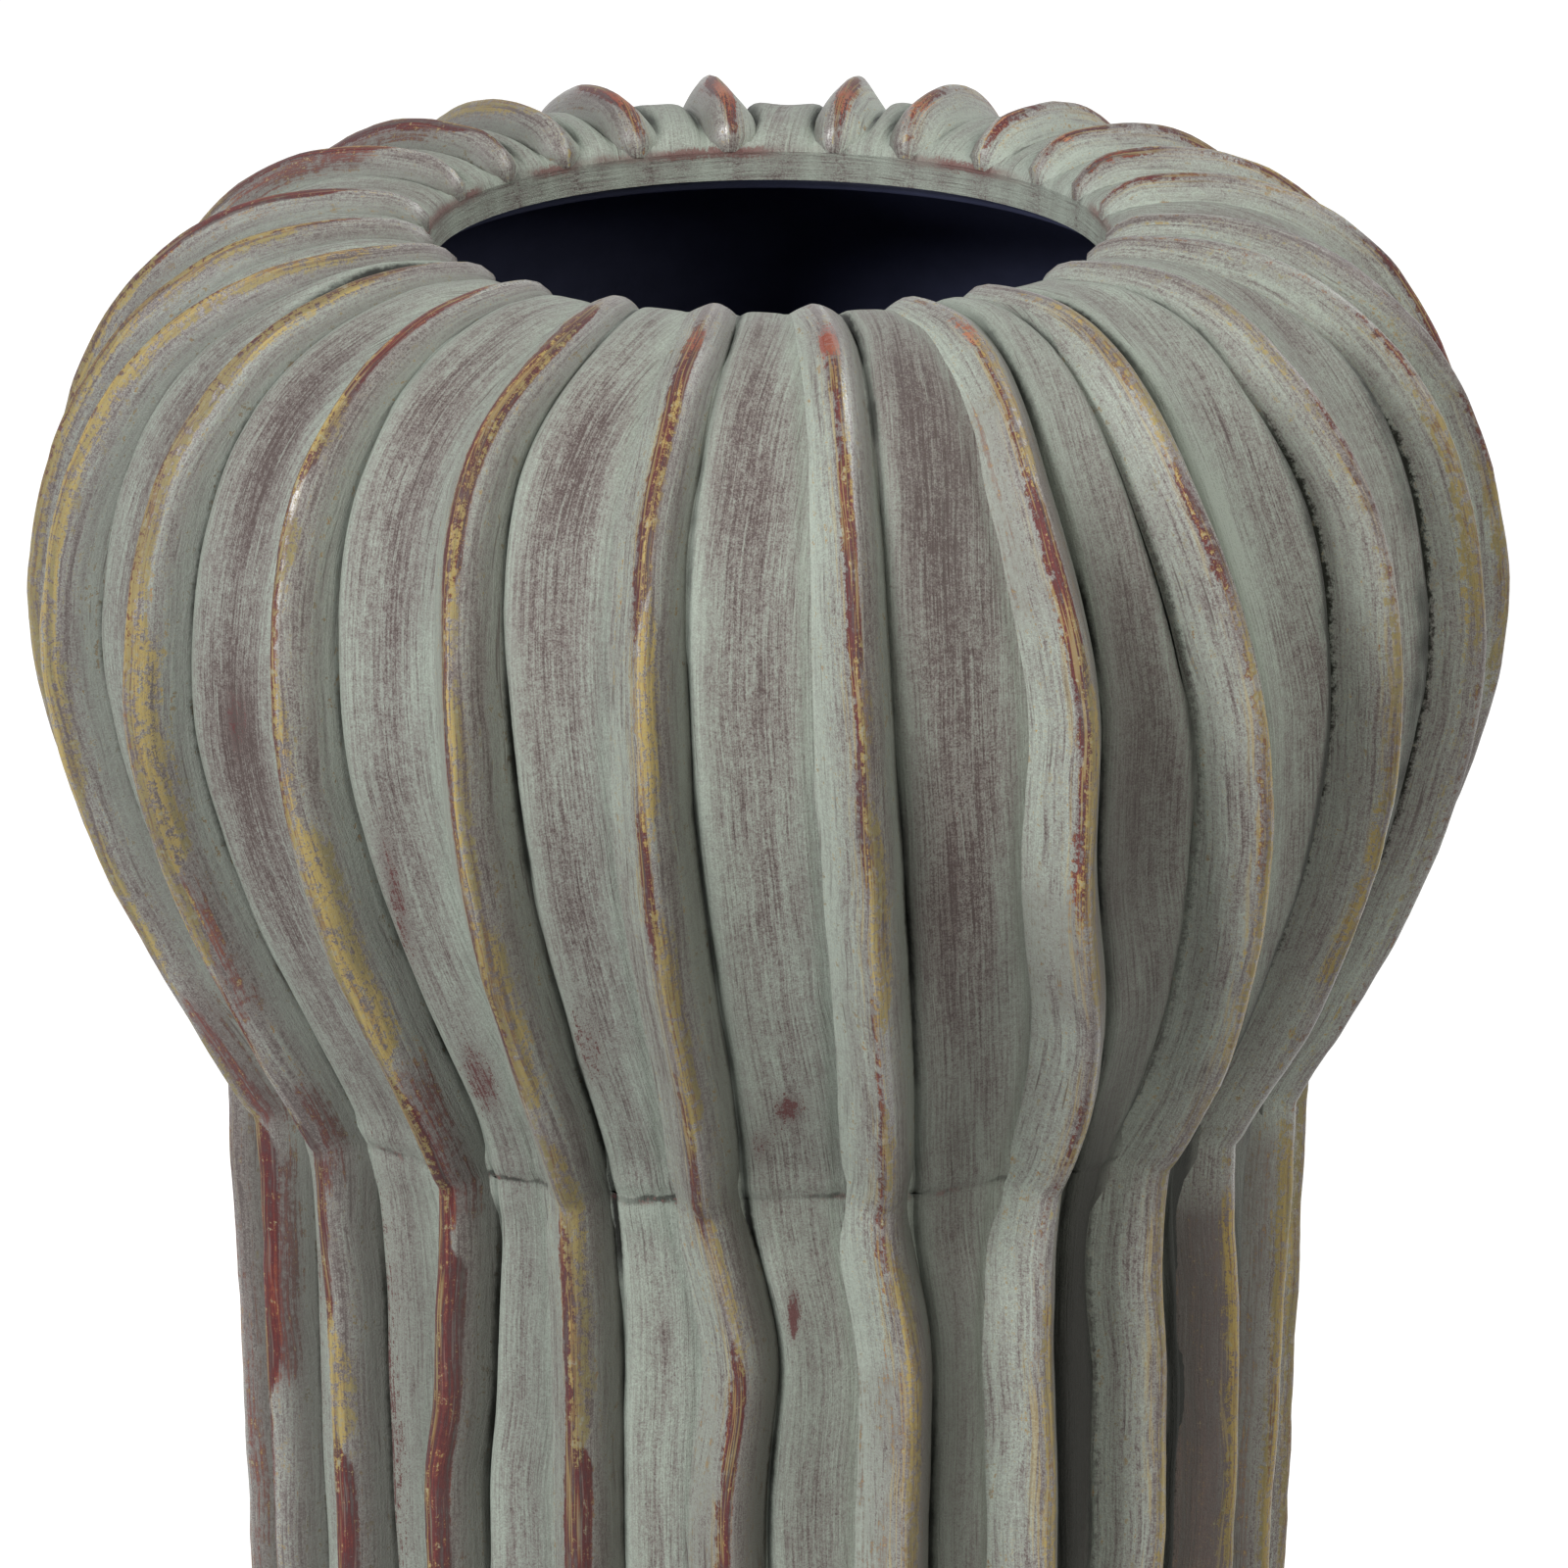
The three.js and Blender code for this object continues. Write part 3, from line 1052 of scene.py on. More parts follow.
class RibPaint:
    """Wash on the ribs, worn along their crests to ochre, oxblood slip and bare clay, with painted shade on
    their right sides and in their creases.

    Pairs of sizes say where a mask starts and is full, or give a line's start and its slope, or a
    band's middle and its reach.
    """

    name = "worn_rib_wash"
    left_side = (-0.35, -0.9)
    right_side = (0.40, 0.85)
    cover = 0.60
    left_cover = 0.26
    right_cover = 0.22
    rubbed_cover = -0.20
    rubbed_line = (0.0, 2.0)
    thin_cover = -0.42
    thin_line = (3.8, 2.2)
    side_calm = 0.8
    rust_swings = Swings(blotch=0.6, bristle=1.2, stroke=0.6, dab=0.4)
    cuts = Patch(0.47, 0.34, 0.62)
    old_scratches = Patch(0.60, 0.67, 0.45)
    old_specks = Patch(0.62, 0.72, 0.5)
    flank_start = (-0.15, 0.25)
    flank_end = (0.95, 0.6)
    flank_patches = (-0.15, 0.9, 0.6)
    flank = Patch(0.42, 0.70, 0.88, specks=0.4)
    dull_patches = (0.15, 1.1)
    dull = Patch(0.22, 0.72, 0.80, 0.4, 0.5)
    dull_dirt = 0.55
    red_strength = (0.22, 0.62)
    red_reach = (0.55, 0.70)
    red_place = (-1.2, 0.6)
    red = Patch(0.30, 0.66, dabs=1.3)
    red_opacity = 0.94
    thread_scratches = Patch(0.52, 0.60, 0.40)
    thread_line = (-0.9, 1.8)
    gold_strength = (0.20, 0.40)
    gold_reach = (0.6, 1.15)
    gold_place = -0.5
    gold = Patch(0.32, 0.66, dabs=1.3)
    gold_opacity = 0.90
    bright_gold = (0.40, 0.62)
    combed = (0.52, 0.38)
    combed_crest = (4.0, 0.8)
    pitted = (0.50, 0.36)
    pitted_dabs = (0.56, 0.44)
    rubbed_opacity = 0.85
    sage_dabs = Patch(0.58, 0.70, 0.6)
    bare_strength = 0.62
    bare_line = (-0.2, 2.0)
    bare = Patch(0.42, 0.62)
    bare_peach = (0.42, 0.60)
    # Painted shade: the right side darkens, more of it down the column below the head; ribs with open
    # creases get painted shade on their undercut left side, and every rib in the creases at its feet
    shadow_side = (0.10, 0.85)
    column = (300.0, 245.0)
    shadow = (0.52, 0.28)
    open_cracks = (1.0, 2.0)
    widest_cracks = Patch(2.1, 3.4, -0.20)
    head = (285.0, 315.0)
    undercut = Patch(-0.2, -0.85, 0.42)
    hollow_fray = Swings(dab=0.16, speck=0.08)
    hollow = Patch(-0.84, -0.95, 0.95)
    foot_fray = 0.05
    foot = (0.88, 0.98)
    foot_depth = (0.2, 0.7)
    foot_side = (-1.4, 0.6)
    crown_place = 0.8
    crown_reach = 2.6
    polish = 0.7
    polish_worn = -0.3
    polish_stroke = 0.5
    roughness = 0.48
    roughness_polish = -0.30
    roughness_speck = 0.14
    gloss = 0.24
    gloss_polish = 0.8
    slip_matt = 0.75
    worn_relief = -0.14
    crown_relief = -0.8
    relief_depth = 0.00070
    ridge_sway = Swings(stroke=1.6, dab=0.6)

    def __init__(self) -> None:
        """Reads the values that the ribs' meshes carry."""
        self.finish = Finish(self.name)
        self.graph = graph = self.finish.graph
        self.across = read_float(graph, "across")
        self.lane = graph.product(self.across, read_float(graph, "half"))
        self.along = read_float(graph, "along")
        self.brush = Brushwork(graph, Flow(self.lane, self.along, read_float(graph, "seed")))
        self.ridge = graph.total(self.lane, self.brush.swings(self.ridge_sway))
        self.reds, self.ochres, self.bares = graph.separate(read_vector(graph, "wear"))
        self.crack = read_float(graph, "crack")

    def build(self) -> bpy.types.Material:
        """Lays the wash, the worn stretches and the shadows over each other.

        Returns:
            The material.
        """
        graph, brush = self.graph, self.brush
        rust = self.rusted()
        colour = self.washed()
        stained = self.stained()
        colour = graph.tint(stained, colour, rust)
        colour = graph.tint(self.dulled(), colour, graph.tint(self.dull_dirt, rust, PALETTE.dirt_and_shade))
        red_mask = self.reddened()
        colour = graph.tint(graph.product(red_mask, self.red_opacity), colour, rust)
        colour = graph.tint(self.threads(), colour, PALETTE.ochre)
        gold_mask = self.gilded()
        colour = graph.tint(graph.product(gold_mask, self.gold_opacity), colour, self.gold_colour())
        bared = graph.product(self.band(*self.bare_line), graph.product(self.bares, self.bare_strength))
        clay = graph.tint(graph.smooth(brush.blotch, *self.bare_peach), PALETTE.bare_clay, PALETTE.peach)
        colour = graph.tint(brush.broken(bared, self.bare), colour, clay)
        # Painted shade on the right side, down the column and in the creases
        colour, foot = self.shaded(colour)
        worn = graph.math("MAXIMUM", red_mask, gold_mask)
        self.polished(colour, worn, stained, foot)
        return self.finish.material

    def band(self, middle: Feed, reach: Feed) -> Socket:
        """Marks a strip along the rib.

        Args:
            middle: how far right of the crest it runs.
            reach: where it has half faded.

        Returns:
            1 on the strip, falling to 0 beside it.
        """
        graph = self.graph
        away = graph.math("ABSOLUTE", graph.math("SUBTRACT", self.ridge, middle))
        return graph.smooth(away, graph.product(reach, 1.5), graph.product(reach, 0.5))

    def washed(self) -> Socket:
        """Lays the wash, thick on the sides and rubbed thin on the crest.

        Returns:
            The wash's colour.
        """
        graph, brush = self.graph, self.brush
        fresh = read_float(graph, "fresh")
        left = graph.product(graph.smooth(self.across, *self.left_side), fresh)
        right = graph.smooth(self.across, *self.right_side)
        base = graph.total(
            self.cover,
            graph.product(left, self.left_cover),
            graph.product(right, self.right_cover),
            graph.product(self.band(*self.rubbed_line), self.rubbed_cover),
            graph.product(self.band(*self.thin_line), brush.blotch, self.thin_cover),
        )
        calm = graph.product(graph.math("MAXIMUM", left, right), self.side_calm)
        return brush.wash(brush.coverage(base, calm))

    def rusted(self) -> Socket:
        """Colours the red slips, with dark cuts and remains of the wash.

        Returns:
            The colour.
        """
        graph, brush = self.graph, self.brush
        rust = graph.ramp(graph.total(0.5, brush.swings(self.rust_swings)), RUST_STOPS)
        remains = (
            (brush.bristle, self.cuts, PALETTE.dirt_and_shade),
            (brush.scratch, self.old_scratches, PALETTE.mauve),
            (brush.speck, self.old_specks, PALETTE.grey),
        )
        for mark, patch, colour in remains:
            rust = graph.tint(graph.patch(mark, patch), rust, colour)
        return rust

    def stained(self) -> Socket:
        """Finds the red patches on the rib's right side.

        Returns:
            How far they cover the wash.
        """
        graph, brush = self.graph, self.brush
        start, blotches, strokes = self.flank_patches
        side = graph.product(
            read_float(graph, "flank"),
            graph.smooth(self.across, *self.flank_start),
            graph.smooth(self.across, *self.flank_end),
        )
        patches = graph.line(brush.blotch, start, blotches)
        patches = graph.total(patches, graph.product(brush.stroke, strokes))
        return brush.broken(graph.product(side, patches), self.flank)

    def dulled(self) -> Socket:
        """Finds the dull stretches where the dark slip shows over the whole rib.

        Returns:
            How far they cover the wash.
        """
        graph, brush = self.graph, self.brush
        patches = graph.line(brush.stroke, *self.dull_patches)
        return brush.broken(graph.product(read_float(graph, "dull"), patches), self.dull)

    def reddened(self) -> Socket:
        """Finds the worn red line along the crest.

        Returns:
            The line's mask.
        """
        graph = self.graph
        reach = graph.line(self.reds, *self.red_reach)
        line = self.band(graph.line(reach, *self.red_place), reach)
        strength = graph.product(line, graph.line(self.reds, *self.red_strength))
        return self.brush.broken(strength, self.red)

    def threads(self) -> Socket:
        """Finds the thin ochre threads beside the worn line.

        Returns:
            How far they cover it.
        """
        graph = self.graph
        scratched = graph.patch(self.brush.scratch, self.thread_scratches)
        worn = graph.math("MINIMUM", graph.total(self.reds, self.ochres), 1.0)
        return graph.product(scratched, self.band(*self.thread_line), worn)

    def gilded(self) -> Socket:
        """Finds the ochre line along the crest.

        Returns:
            The line's mask.
        """
        graph = self.graph
        reach = graph.line(self.ochres, *self.gold_reach)
        aside = graph.product(read_float(graph, "aside"), -1.0)
        line = self.band(graph.total(reach, self.gold_place, aside), reach)
        full = graph.math("MINIMUM", self.ochres, 1.0)
        strength = graph.product(line, graph.line(full, *self.gold_strength))
        return self.brush.broken(strength, self.gold)

    def gold_colour(self) -> Socket:
        """Colours the ochre, combed and pitted down to russet and touched with sage.

        Returns:
            The colour.
        """
        graph, brush = self.graph, self.brush
        gold = graph.tint(graph.smooth(brush.stroke, *self.bright_gold), PALETTE.olive, PALETTE.ochre)
        crest = graph.smooth(self.lane, *self.combed_crest)
        combed = graph.product(graph.smooth(brush.bristle, *self.combed), crest)
        dabs = graph.smooth(brush.dab, *self.pitted_dabs)
        pitted = graph.product(graph.smooth(brush.speck, *self.pitted), dabs)
        rubbed = graph.product(graph.math("MAXIMUM", combed, pitted), self.rubbed_opacity)
        gold = graph.tint(rubbed, gold, PALETTE.russet)
        return graph.tint(graph.patch(brush.dab, self.sage_dabs), gold, PALETTE.sage)

    def shaded(self, colour: Socket) -> tuple[Socket, Socket]:
        """Paints shade: on the right side, more of it down the column, on the undercut left side and in the
        creases at the rib's feet.

        Args:
            colour: the paint's colour.

        Returns:
            The darkened colour, and how deep in a crease the point lies.
        """
        graph, brush, across = self.graph, self.brush, self.across
        low_down = graph.smooth(self.along, *self.column)
        shadow = graph.product(graph.smooth(across, *self.shadow_side), graph.line(low_down, *self.shadow))
        colour = graph.tint(shadow, colour, PALETTE.dirt_and_shade)
        cracked = graph.smooth(self.crack, *self.open_cracks)
        undercut = graph.product(cracked, graph.patch(across, self.undercut))
        colour = graph.tint(undercut, colour, PALETTE.dirt_and_shade)
        outer = graph.total(graph.math("ABSOLUTE", across), graph.swing(brush.dab, self.foot_fray))
        foot = graph.product(
            graph.smooth(outer, *self.foot),
            graph.line(brush.deep(), *self.foot_depth),
            graph.smooth(across, *self.foot_side),
        )
        on_head = graph.smooth(self.along, *self.head)
        widened = graph.product(graph.patch(self.crack, self.widest_cracks), on_head)
        rolled = graph.total(across, brush.swings(self.hollow_fray), widened)
        hollow = graph.product(cracked, graph.patch(rolled, self.hollow))
        foot = graph.math("MAXIMUM", foot, hollow)
        return graph.tint(foot, colour, PALETTE.crease), foot

    def polished(self, colour: Socket, worn: Socket, stained: Socket, foot: Socket) -> None:
        """Fills the shader, polished along the crown and matt where slip or clay shows.

        Args:
            colour: the finished colour.
            worn: where red or ochre covers the crest.
            stained: where red covers the right side.
            foot: how deep in a crease the point lies.
        """
        graph, brush = self.graph, self.brush
        beside = graph.math("ABSOLUTE", graph.math("SUBTRACT", self.lane, self.crown_place))
        crown = graph.fade(beside, self.crown_reach)
        handled = graph.line(worn, self.polish, self.polish_worn)
        handled = graph.total(handled, graph.swing(brush.stroke, self.polish_stroke))
        polish = graph.product(crown, handled)
        roughness = graph.line(polish, self.roughness, self.roughness_polish)
        roughness = graph.total(roughness, graph.swing(brush.speck, self.roughness_speck))
        slip = graph.product(graph.math("MAXIMUM", worn, stained), self.slip_matt)
        matt = graph.rest(graph.math("MAXIMUM", slip, foot))
        gloss = graph.product(graph.line(polish, self.gloss, self.gloss_polish), matt)
        relief = graph.product(
            brush.relief(graph.product(worn, self.worn_relief)), graph.line(crown, 1.0, self.crown_relief)
        )
        self.finish.dress(colour, roughness, relief, self.relief_depth, gloss)


def shade_of(colour: Colour, share: float) -> Colour:
    """Returns a colour made darker or lighter by a share."""
    return tuple(share * part for part in colour)


@dataclass(frozen=True)
class LiningPaint:
    """The dark coating inside the vase."""

    name: str = "dark_lining"
    mottle: Grain = Grain(0.12, 4.0, 0.6)
    dark_share: float = 0.7
    light_share: float = 1.3
    roughness: float = 0.5
    roughness_swing: float = 0.1
    relief_depth: float = 0.0003

    def build(self) -> bpy.types.Material:
        """Builds the nodes.

        Returns:
            The material.
        """
        finish = Finish(self.name)
        graph = finish.graph
        place = graph.scaled(graph.add("ShaderNodeTexCoord").outputs["Object"], 1.0 / MM)
        mottle = graph.noise(place, self.mottle.cells, self.mottle.detail, self.mottle.rough)
        dark, light = (shade_of(PALETTE.lining, share) for share in (self.dark_share, self.light_share))
        colour = graph.tint(mottle, dark, light)
        roughness = graph.total(self.roughness, graph.swing(mottle, self.roughness_swing))
        finish.dress(colour, roughness, mottle, self.relief_depth)
        return finish.material


@dataclass(frozen=True)
class BarePaint:
    """Fired clay of the base, with a thin wash near its edge."""

    name: str = "bare_base_clay"
    mottle: Grain = Grain(0.08, 4.0, 0.6)
    grain: Grain = Grain(1.6, 3.0, 0.65)
    rings: Grain = Grain(0.9, 2.0)
    dark_share: float = 0.75
    grain_share: float = 0.45
    dark_grains: Span = (0.62, 0.8)
    wash_edge: Span = (94.0, 97.5)
    wash_waver: float = 4.0
    wash_opacity: float = 0.85
    roughness: float = 0.8
    roughness_swing: float = 0.1
    relief_depth: float = 0.0003

    def build(self) -> bpy.types.Material:
        """Builds the nodes.

        Returns:
            The material.
        """
        finish = Finish(self.name)
        graph = finish.graph
        place = graph.scaled(graph.add("ShaderNodeTexCoord").outputs["Object"], 1.0 / MM)
        x, y, _ = graph.separate(place)
        radius = graph.math("SQRT", graph.total(graph.product(x, x), graph.product(y, y)))
        mottle = graph.noise(place, self.mottle.cells, self.mottle.detail, self.mottle.rough)
        grain = graph.noise(place, self.grain.cells, self.grain.detail, self.grain.rough)
        rings = graph.noise(graph.combine(radius, 0.0, 0.0), self.rings.cells, self.rings.detail)
        clay = graph.tint(mottle, shade_of(PALETTE.bare_clay, self.dark_share), PALETTE.bare_clay)
        grains = graph.smooth(grain, *self.dark_grains)
        clay = graph.tint(grains, clay, shade_of(PALETTE.bare_clay, self.grain_share))
        edge = graph.smooth(graph.total(radius, graph.swing(mottle, self.wash_waver)), *self.wash_edge)
        colour = graph.tint(graph.product(edge, self.wash_opacity), clay, PALETTE.grey)
        relief = graph.mix(0.5, grain, rings)
        roughness = graph.total(self.roughness, graph.swing(grain, self.roughness_swing))
        finish.dress(colour, roughness, relief, self.relief_depth)
        return finish.material


# ---- geometry trees


class ShapeTree:
    """A geometry tree and the way it is run on a mesh."""

    def __init__(self, name: str, sockets: Sequence[tuple[str, str]]) -> None:
        """Starts the tree with named inputs.

        Args:
            name: the tree's name.
            sockets: (label, socket type) of each input after the geometry.
        """
        tree = bpy.data.node_groups.new(name, "GeometryNodeTree")
        tree.is_modifier = True
        interface = tree.interface
        interface.new_socket("Geometry", in_out="INPUT", socket_type="NodeSocketGeometry")
        self.identifiers = {
            label: interface.new_socket(label, in_out="INPUT", socket_type=kind).identifier
            for label, kind in sockets
        }
        interface.new_socket("Geometry", in_out="OUTPUT", socket_type="NodeSocketGeometry")
        self.graph = Graph(tree)
        self.given = self.graph.add("NodeGroupInput").outputs

    def named(self, name: str, kind: str = "FLOAT") -> Socket:
        """Returns a value that the mesh carries."""
        node = self.graph.add("GeometryNodeInputNamedAttribute", {"Name": name}, data_type=kind)
        return node.outputs["Attribute"]

    def parts(self, name: str) -> tuple[Socket, Socket, Socket]:
        """Returns the three numbers of a vector that the mesh carries."""
        return self.graph.separate(self.named(name, "FLOAT_VECTOR"))

    def noise(self, place: Socket, kind: Grain) -> Socket:
        """Returns a noise in cells per metre that changes with the tree's seed."""
        which = self.graph.math("ADD", self.given["Seed"], kind.which)
        return self.graph.noise(place, kind.cells, kind.detail, kind.rough, which)

    def store(self, geometry: Socket, name: str, value: Feed) -> Socket:
        """Writes a number on the points.

        Args:
            geometry: what receives it.
            name: the number's name.
            value: the number.

        Returns:
            The geometry that carries it.
        """
        feeds = {"Geometry": geometry, "Name": name, "Value": value}
        kind = "GeometryNodeStoreNamedAttribute"
        return self.graph.add(kind, feeds, data_type="FLOAT", domain="POINT").outputs["Geometry"]

    def moved(self, geometry: Socket, place: Socket) -> Socket:
        """Moves the points and shades the faces smooth.

        Args:
            geometry: what is moved.
            place: where each point goes.

        Returns:
            The moved geometry.
        """
        feeds = {"Geometry": geometry, "Position": place}
        there = self.graph.add("GeometryNodeSetPosition", feeds).outputs["Geometry"]
        return self.graph.add("GeometryNodeSetShadeSmooth", {"Geometry": there}).outputs["Geometry"]

    def close(self, geometry: Socket, paints: Sequence[tuple[str, Optional[Socket]]]) -> None:
        """Ends the tree in Realize Instances and Set Material.

        Args:
            geometry: what the tree has made.
            paints: (material input's label, selection or None), in order.
        """
        last = self.graph.add("GeometryNodeRealizeInstances", {"Geometry": geometry}).outputs["Geometry"]
        for label, selection in paints:
            feeds = {"Geometry": last, "Selection": selection, "Material": self.given[label]}
            last = self.graph.add("GeometryNodeSetMaterial", feeds).outputs["Geometry"]
        self.graph.add("NodeGroupOutput", {0: last})

    def run(self, name: str, source: bpy.types.Mesh, values: dict[str, object]) -> bpy.types.Object:
        """Runs the tree on a mesh and makes the result a plain object.

        Args:
            name: the finished piece's name.
            source: the mesh that goes in.
            values: the inputs' values by label.

        Returns:
            The piece, with no modifier left on it.
        """
        draft = bpy.data.objects.new(f"{name}_draft", source)
        bpy.context.scene.collection.objects.link(draft)
        modifier = draft.modifiers.new("shape", "NODES")
        modifier.node_group = self.graph.tree
        for label, value in values.items():
            modifier[self.identifiers[label]] = value
        depsgraph = bpy.context.evaluated_depsgraph_get()
        mesh = bpy.data.meshes.new_from_object(draft.evaluated_get(depsgraph), depsgraph=depsgraph)
        bpy.data.objects.remove(draft)
        bpy.data.meshes.remove(source)
        mesh.name = name
        mesh.set_sharp_from_angle(angle=SHARP_CORNER)
        face_outward(mesh)
        return linked(name, mesh)


def linked(name: str, mesh: bpy.types.Mesh) -> bpy.types.Object:
    """Puts a mesh in the scene.

    Args:
        name: the new object's name.
        mesh: the mesh that it shows.

    Returns:
        The object.
    """
    piece = bpy.data.objects.new(name, mesh)
    bpy.context.scene.collection.objects.link(piece)
    return piece


def face_outward(mesh: bpy.types.Mesh) -> None:
    """Turns a closed mesh's faces so that they point out.

    Args:
        mesh: the mesh.
    """
    mesh.calc_loop_triangles()
    corners = np.zeros(len(mesh.vertices) * 3)
    mesh.vertices.foreach_get("co", corners)
    corners = corners.reshape(-1, 3)
    faces = np.zeros(len(mesh.loop_triangles) * 3, int)
    mesh.loop_triangles.foreach_get("vertices", faces)
    a, b, c = (corners[faces.reshape(-1, 3)[:, i]] for i in range(3))
    if np.einsum("ij,ij->i", a, np.cross(b, c)).sum() < 0:
        mesh.flip_normals()


def carry(mesh: bpy.types.Mesh, carried: dict[str, np.ndarray]) -> None:
    """Writes numbers or vectors for each vertex onto a mesh.

    Args:
        mesh: the mesh.
        carried: rows of values by name, one row for each vertex.
    """
    for name, values in carried.items():
        is_vector = values.ndim == 2
        layer = mesh.attributes.new(name, "FLOAT_VECTOR" if is_vector else "FLOAT", "POINT")
        layer.data.foreach_set("vector" if is_vector else "value", values.astype(np.float32).ravel())


class PinchedRibTree(ShapeTree):
    """Sweeps a pinched coil along its guide line on the wall."""

    top_share = 0.8
    top_edge = 0.001
    crest = (
        (0.0, 0.0),
        (0.04, 0.03),
        (0.12, 0.17),
        (0.25, 0.48),
        (0.38, 0.80),
        (0.45, 0.955),
        (0.5, 1.0),
        (0.56, 0.965),
        (0.66, 0.80),
        (0.78, 0.54),
        (0.89, 0.26),
        (0.96, 0.09),
        (1.0, 0.0),
    )
    drift = Grain(22.0)
    ripple = Grain(30.0, 3.0, which=9.0)
    dents = Grain(110.0, which=21.0)
    dented: Span = (0.02, 0.4)

    def __init__(self) -> None:
        """Builds the tree."""
        labels = ("Seat Depth", "Wander", "Unevenness", "Dent Depth", "Seed")
        sockets = [(label, "NodeSocketFloat") for label in labels]
        sockets = [("Points Around", "NodeSocketInt"), *sockets, ("Paint", "NodeSocketMaterial")]
        super().__init__("pinched_rib", sockets)
        swept = self.swept()
        across, rise = self.section()
        geometry = self.moved(self.store(swept, "across", across), self.place(across, rise))
        self.close(geometry, (("Paint", None),))

    def swept(self) -> Socket:
        """Sweeps a small ring along the guide line, to be spread out afterwards.

        Returns:
            The swept geometry, which carries each point's turn round the ring.
        """
        graph = self.graph
        guide = graph.add("GeometryNodeMeshToCurve", {"Mesh": self.given["Geometry"]}).outputs["Curve"]
        feeds = {"Resolution": self.given["Points Around"], "Radius": MM}
        ring = graph.add("GeometryNodeCurvePrimitiveCircle", feeds, mode="RADIUS").outputs["Curve"]
        turn = graph.add("GeometryNodeSplineParameter").outputs["Factor"]
        feeds = {"Curve": guide, "Profile Curve": self.store(ring, "turn", turn), "Fill Caps": True}
        return graph.add("GeometryNodeCurveToMesh", feeds).outputs["Mesh"]

    def section(self) -> tuple[Socket, Socket]:
        """Turns a place round the ring into one on the coil's section.

        Returns:
            How far across the coil the point lies, from -1 to 1, and how high, from 0 to 1.
        """
        graph = self.graph
        turn = self.named("turn")
        over = graph.math("DIVIDE", turn, self.top_share, clamp=True)
        past = graph.math("SUBTRACT", turn, self.top_share)
        under = graph.math("DIVIDE", past, 1.0 - self.top_share, clamp=True)
        rightward = graph.math("SUBTRACT", graph.product(over, 2.0), 1.0)
        across = graph.math("SUBTRACT", rightward, graph.product(under, 2.0))
        on_top = graph.math("LESS_THAN", turn, self.top_share + self.top_edge)
        squared = graph.product(across, across)
        round_rise = graph.math("SQRT", graph.math("SUBTRACT", 1.0, squared, clamp=True))
        rise = graph.mix(self.named("fat"), graph.curve(over, self.crest), round_rise)
        return across, graph.product(rise, on_top)

    def place(self, across: Socket, rise: Socket) -> Socket:
        """Sets a point of the section on the wall, with the wander and dents of handwork.

        Args:
            across: how far across the coil it lies.
            rise: how high it lies.

        Returns:
            The point.
        """
        graph = self.graph
        spine, out, side = (self.named(name, "FLOAT_VECTOR") for name in ("spine", "wall_out", "wall_side"))
        half, height, lean = self.parts("section")
        drift = graph.swing(self.noise(spine, self.drift), self.given["Wander"])
        ripple = graph.swing(self.noise(spine, self.ripple), self.given["Unevenness"])
        sideways = graph.total(graph.product(across, half), graph.product(lean, rise), drift)
        tall = graph.product(height, graph.total(1.0, ripple))
        sink = graph.product(self.given["Seat Depth"], graph.rest(rise))
        lift = graph.math("SUBTRACT", graph.product(rise, tall), sink)
        place = graph.vector("ADD", spine, graph.scaled(side, sideways))
        place = graph.vector("ADD", place, graph.scaled(out, lift))
        dent = graph.swing(self.noise(place, self.dents), self.given["Dent Depth"])
        dent = graph.product(dent, graph.smooth(rise, *self.dented))
        return graph.vector("ADD", place, graph.scaled(out, dent))


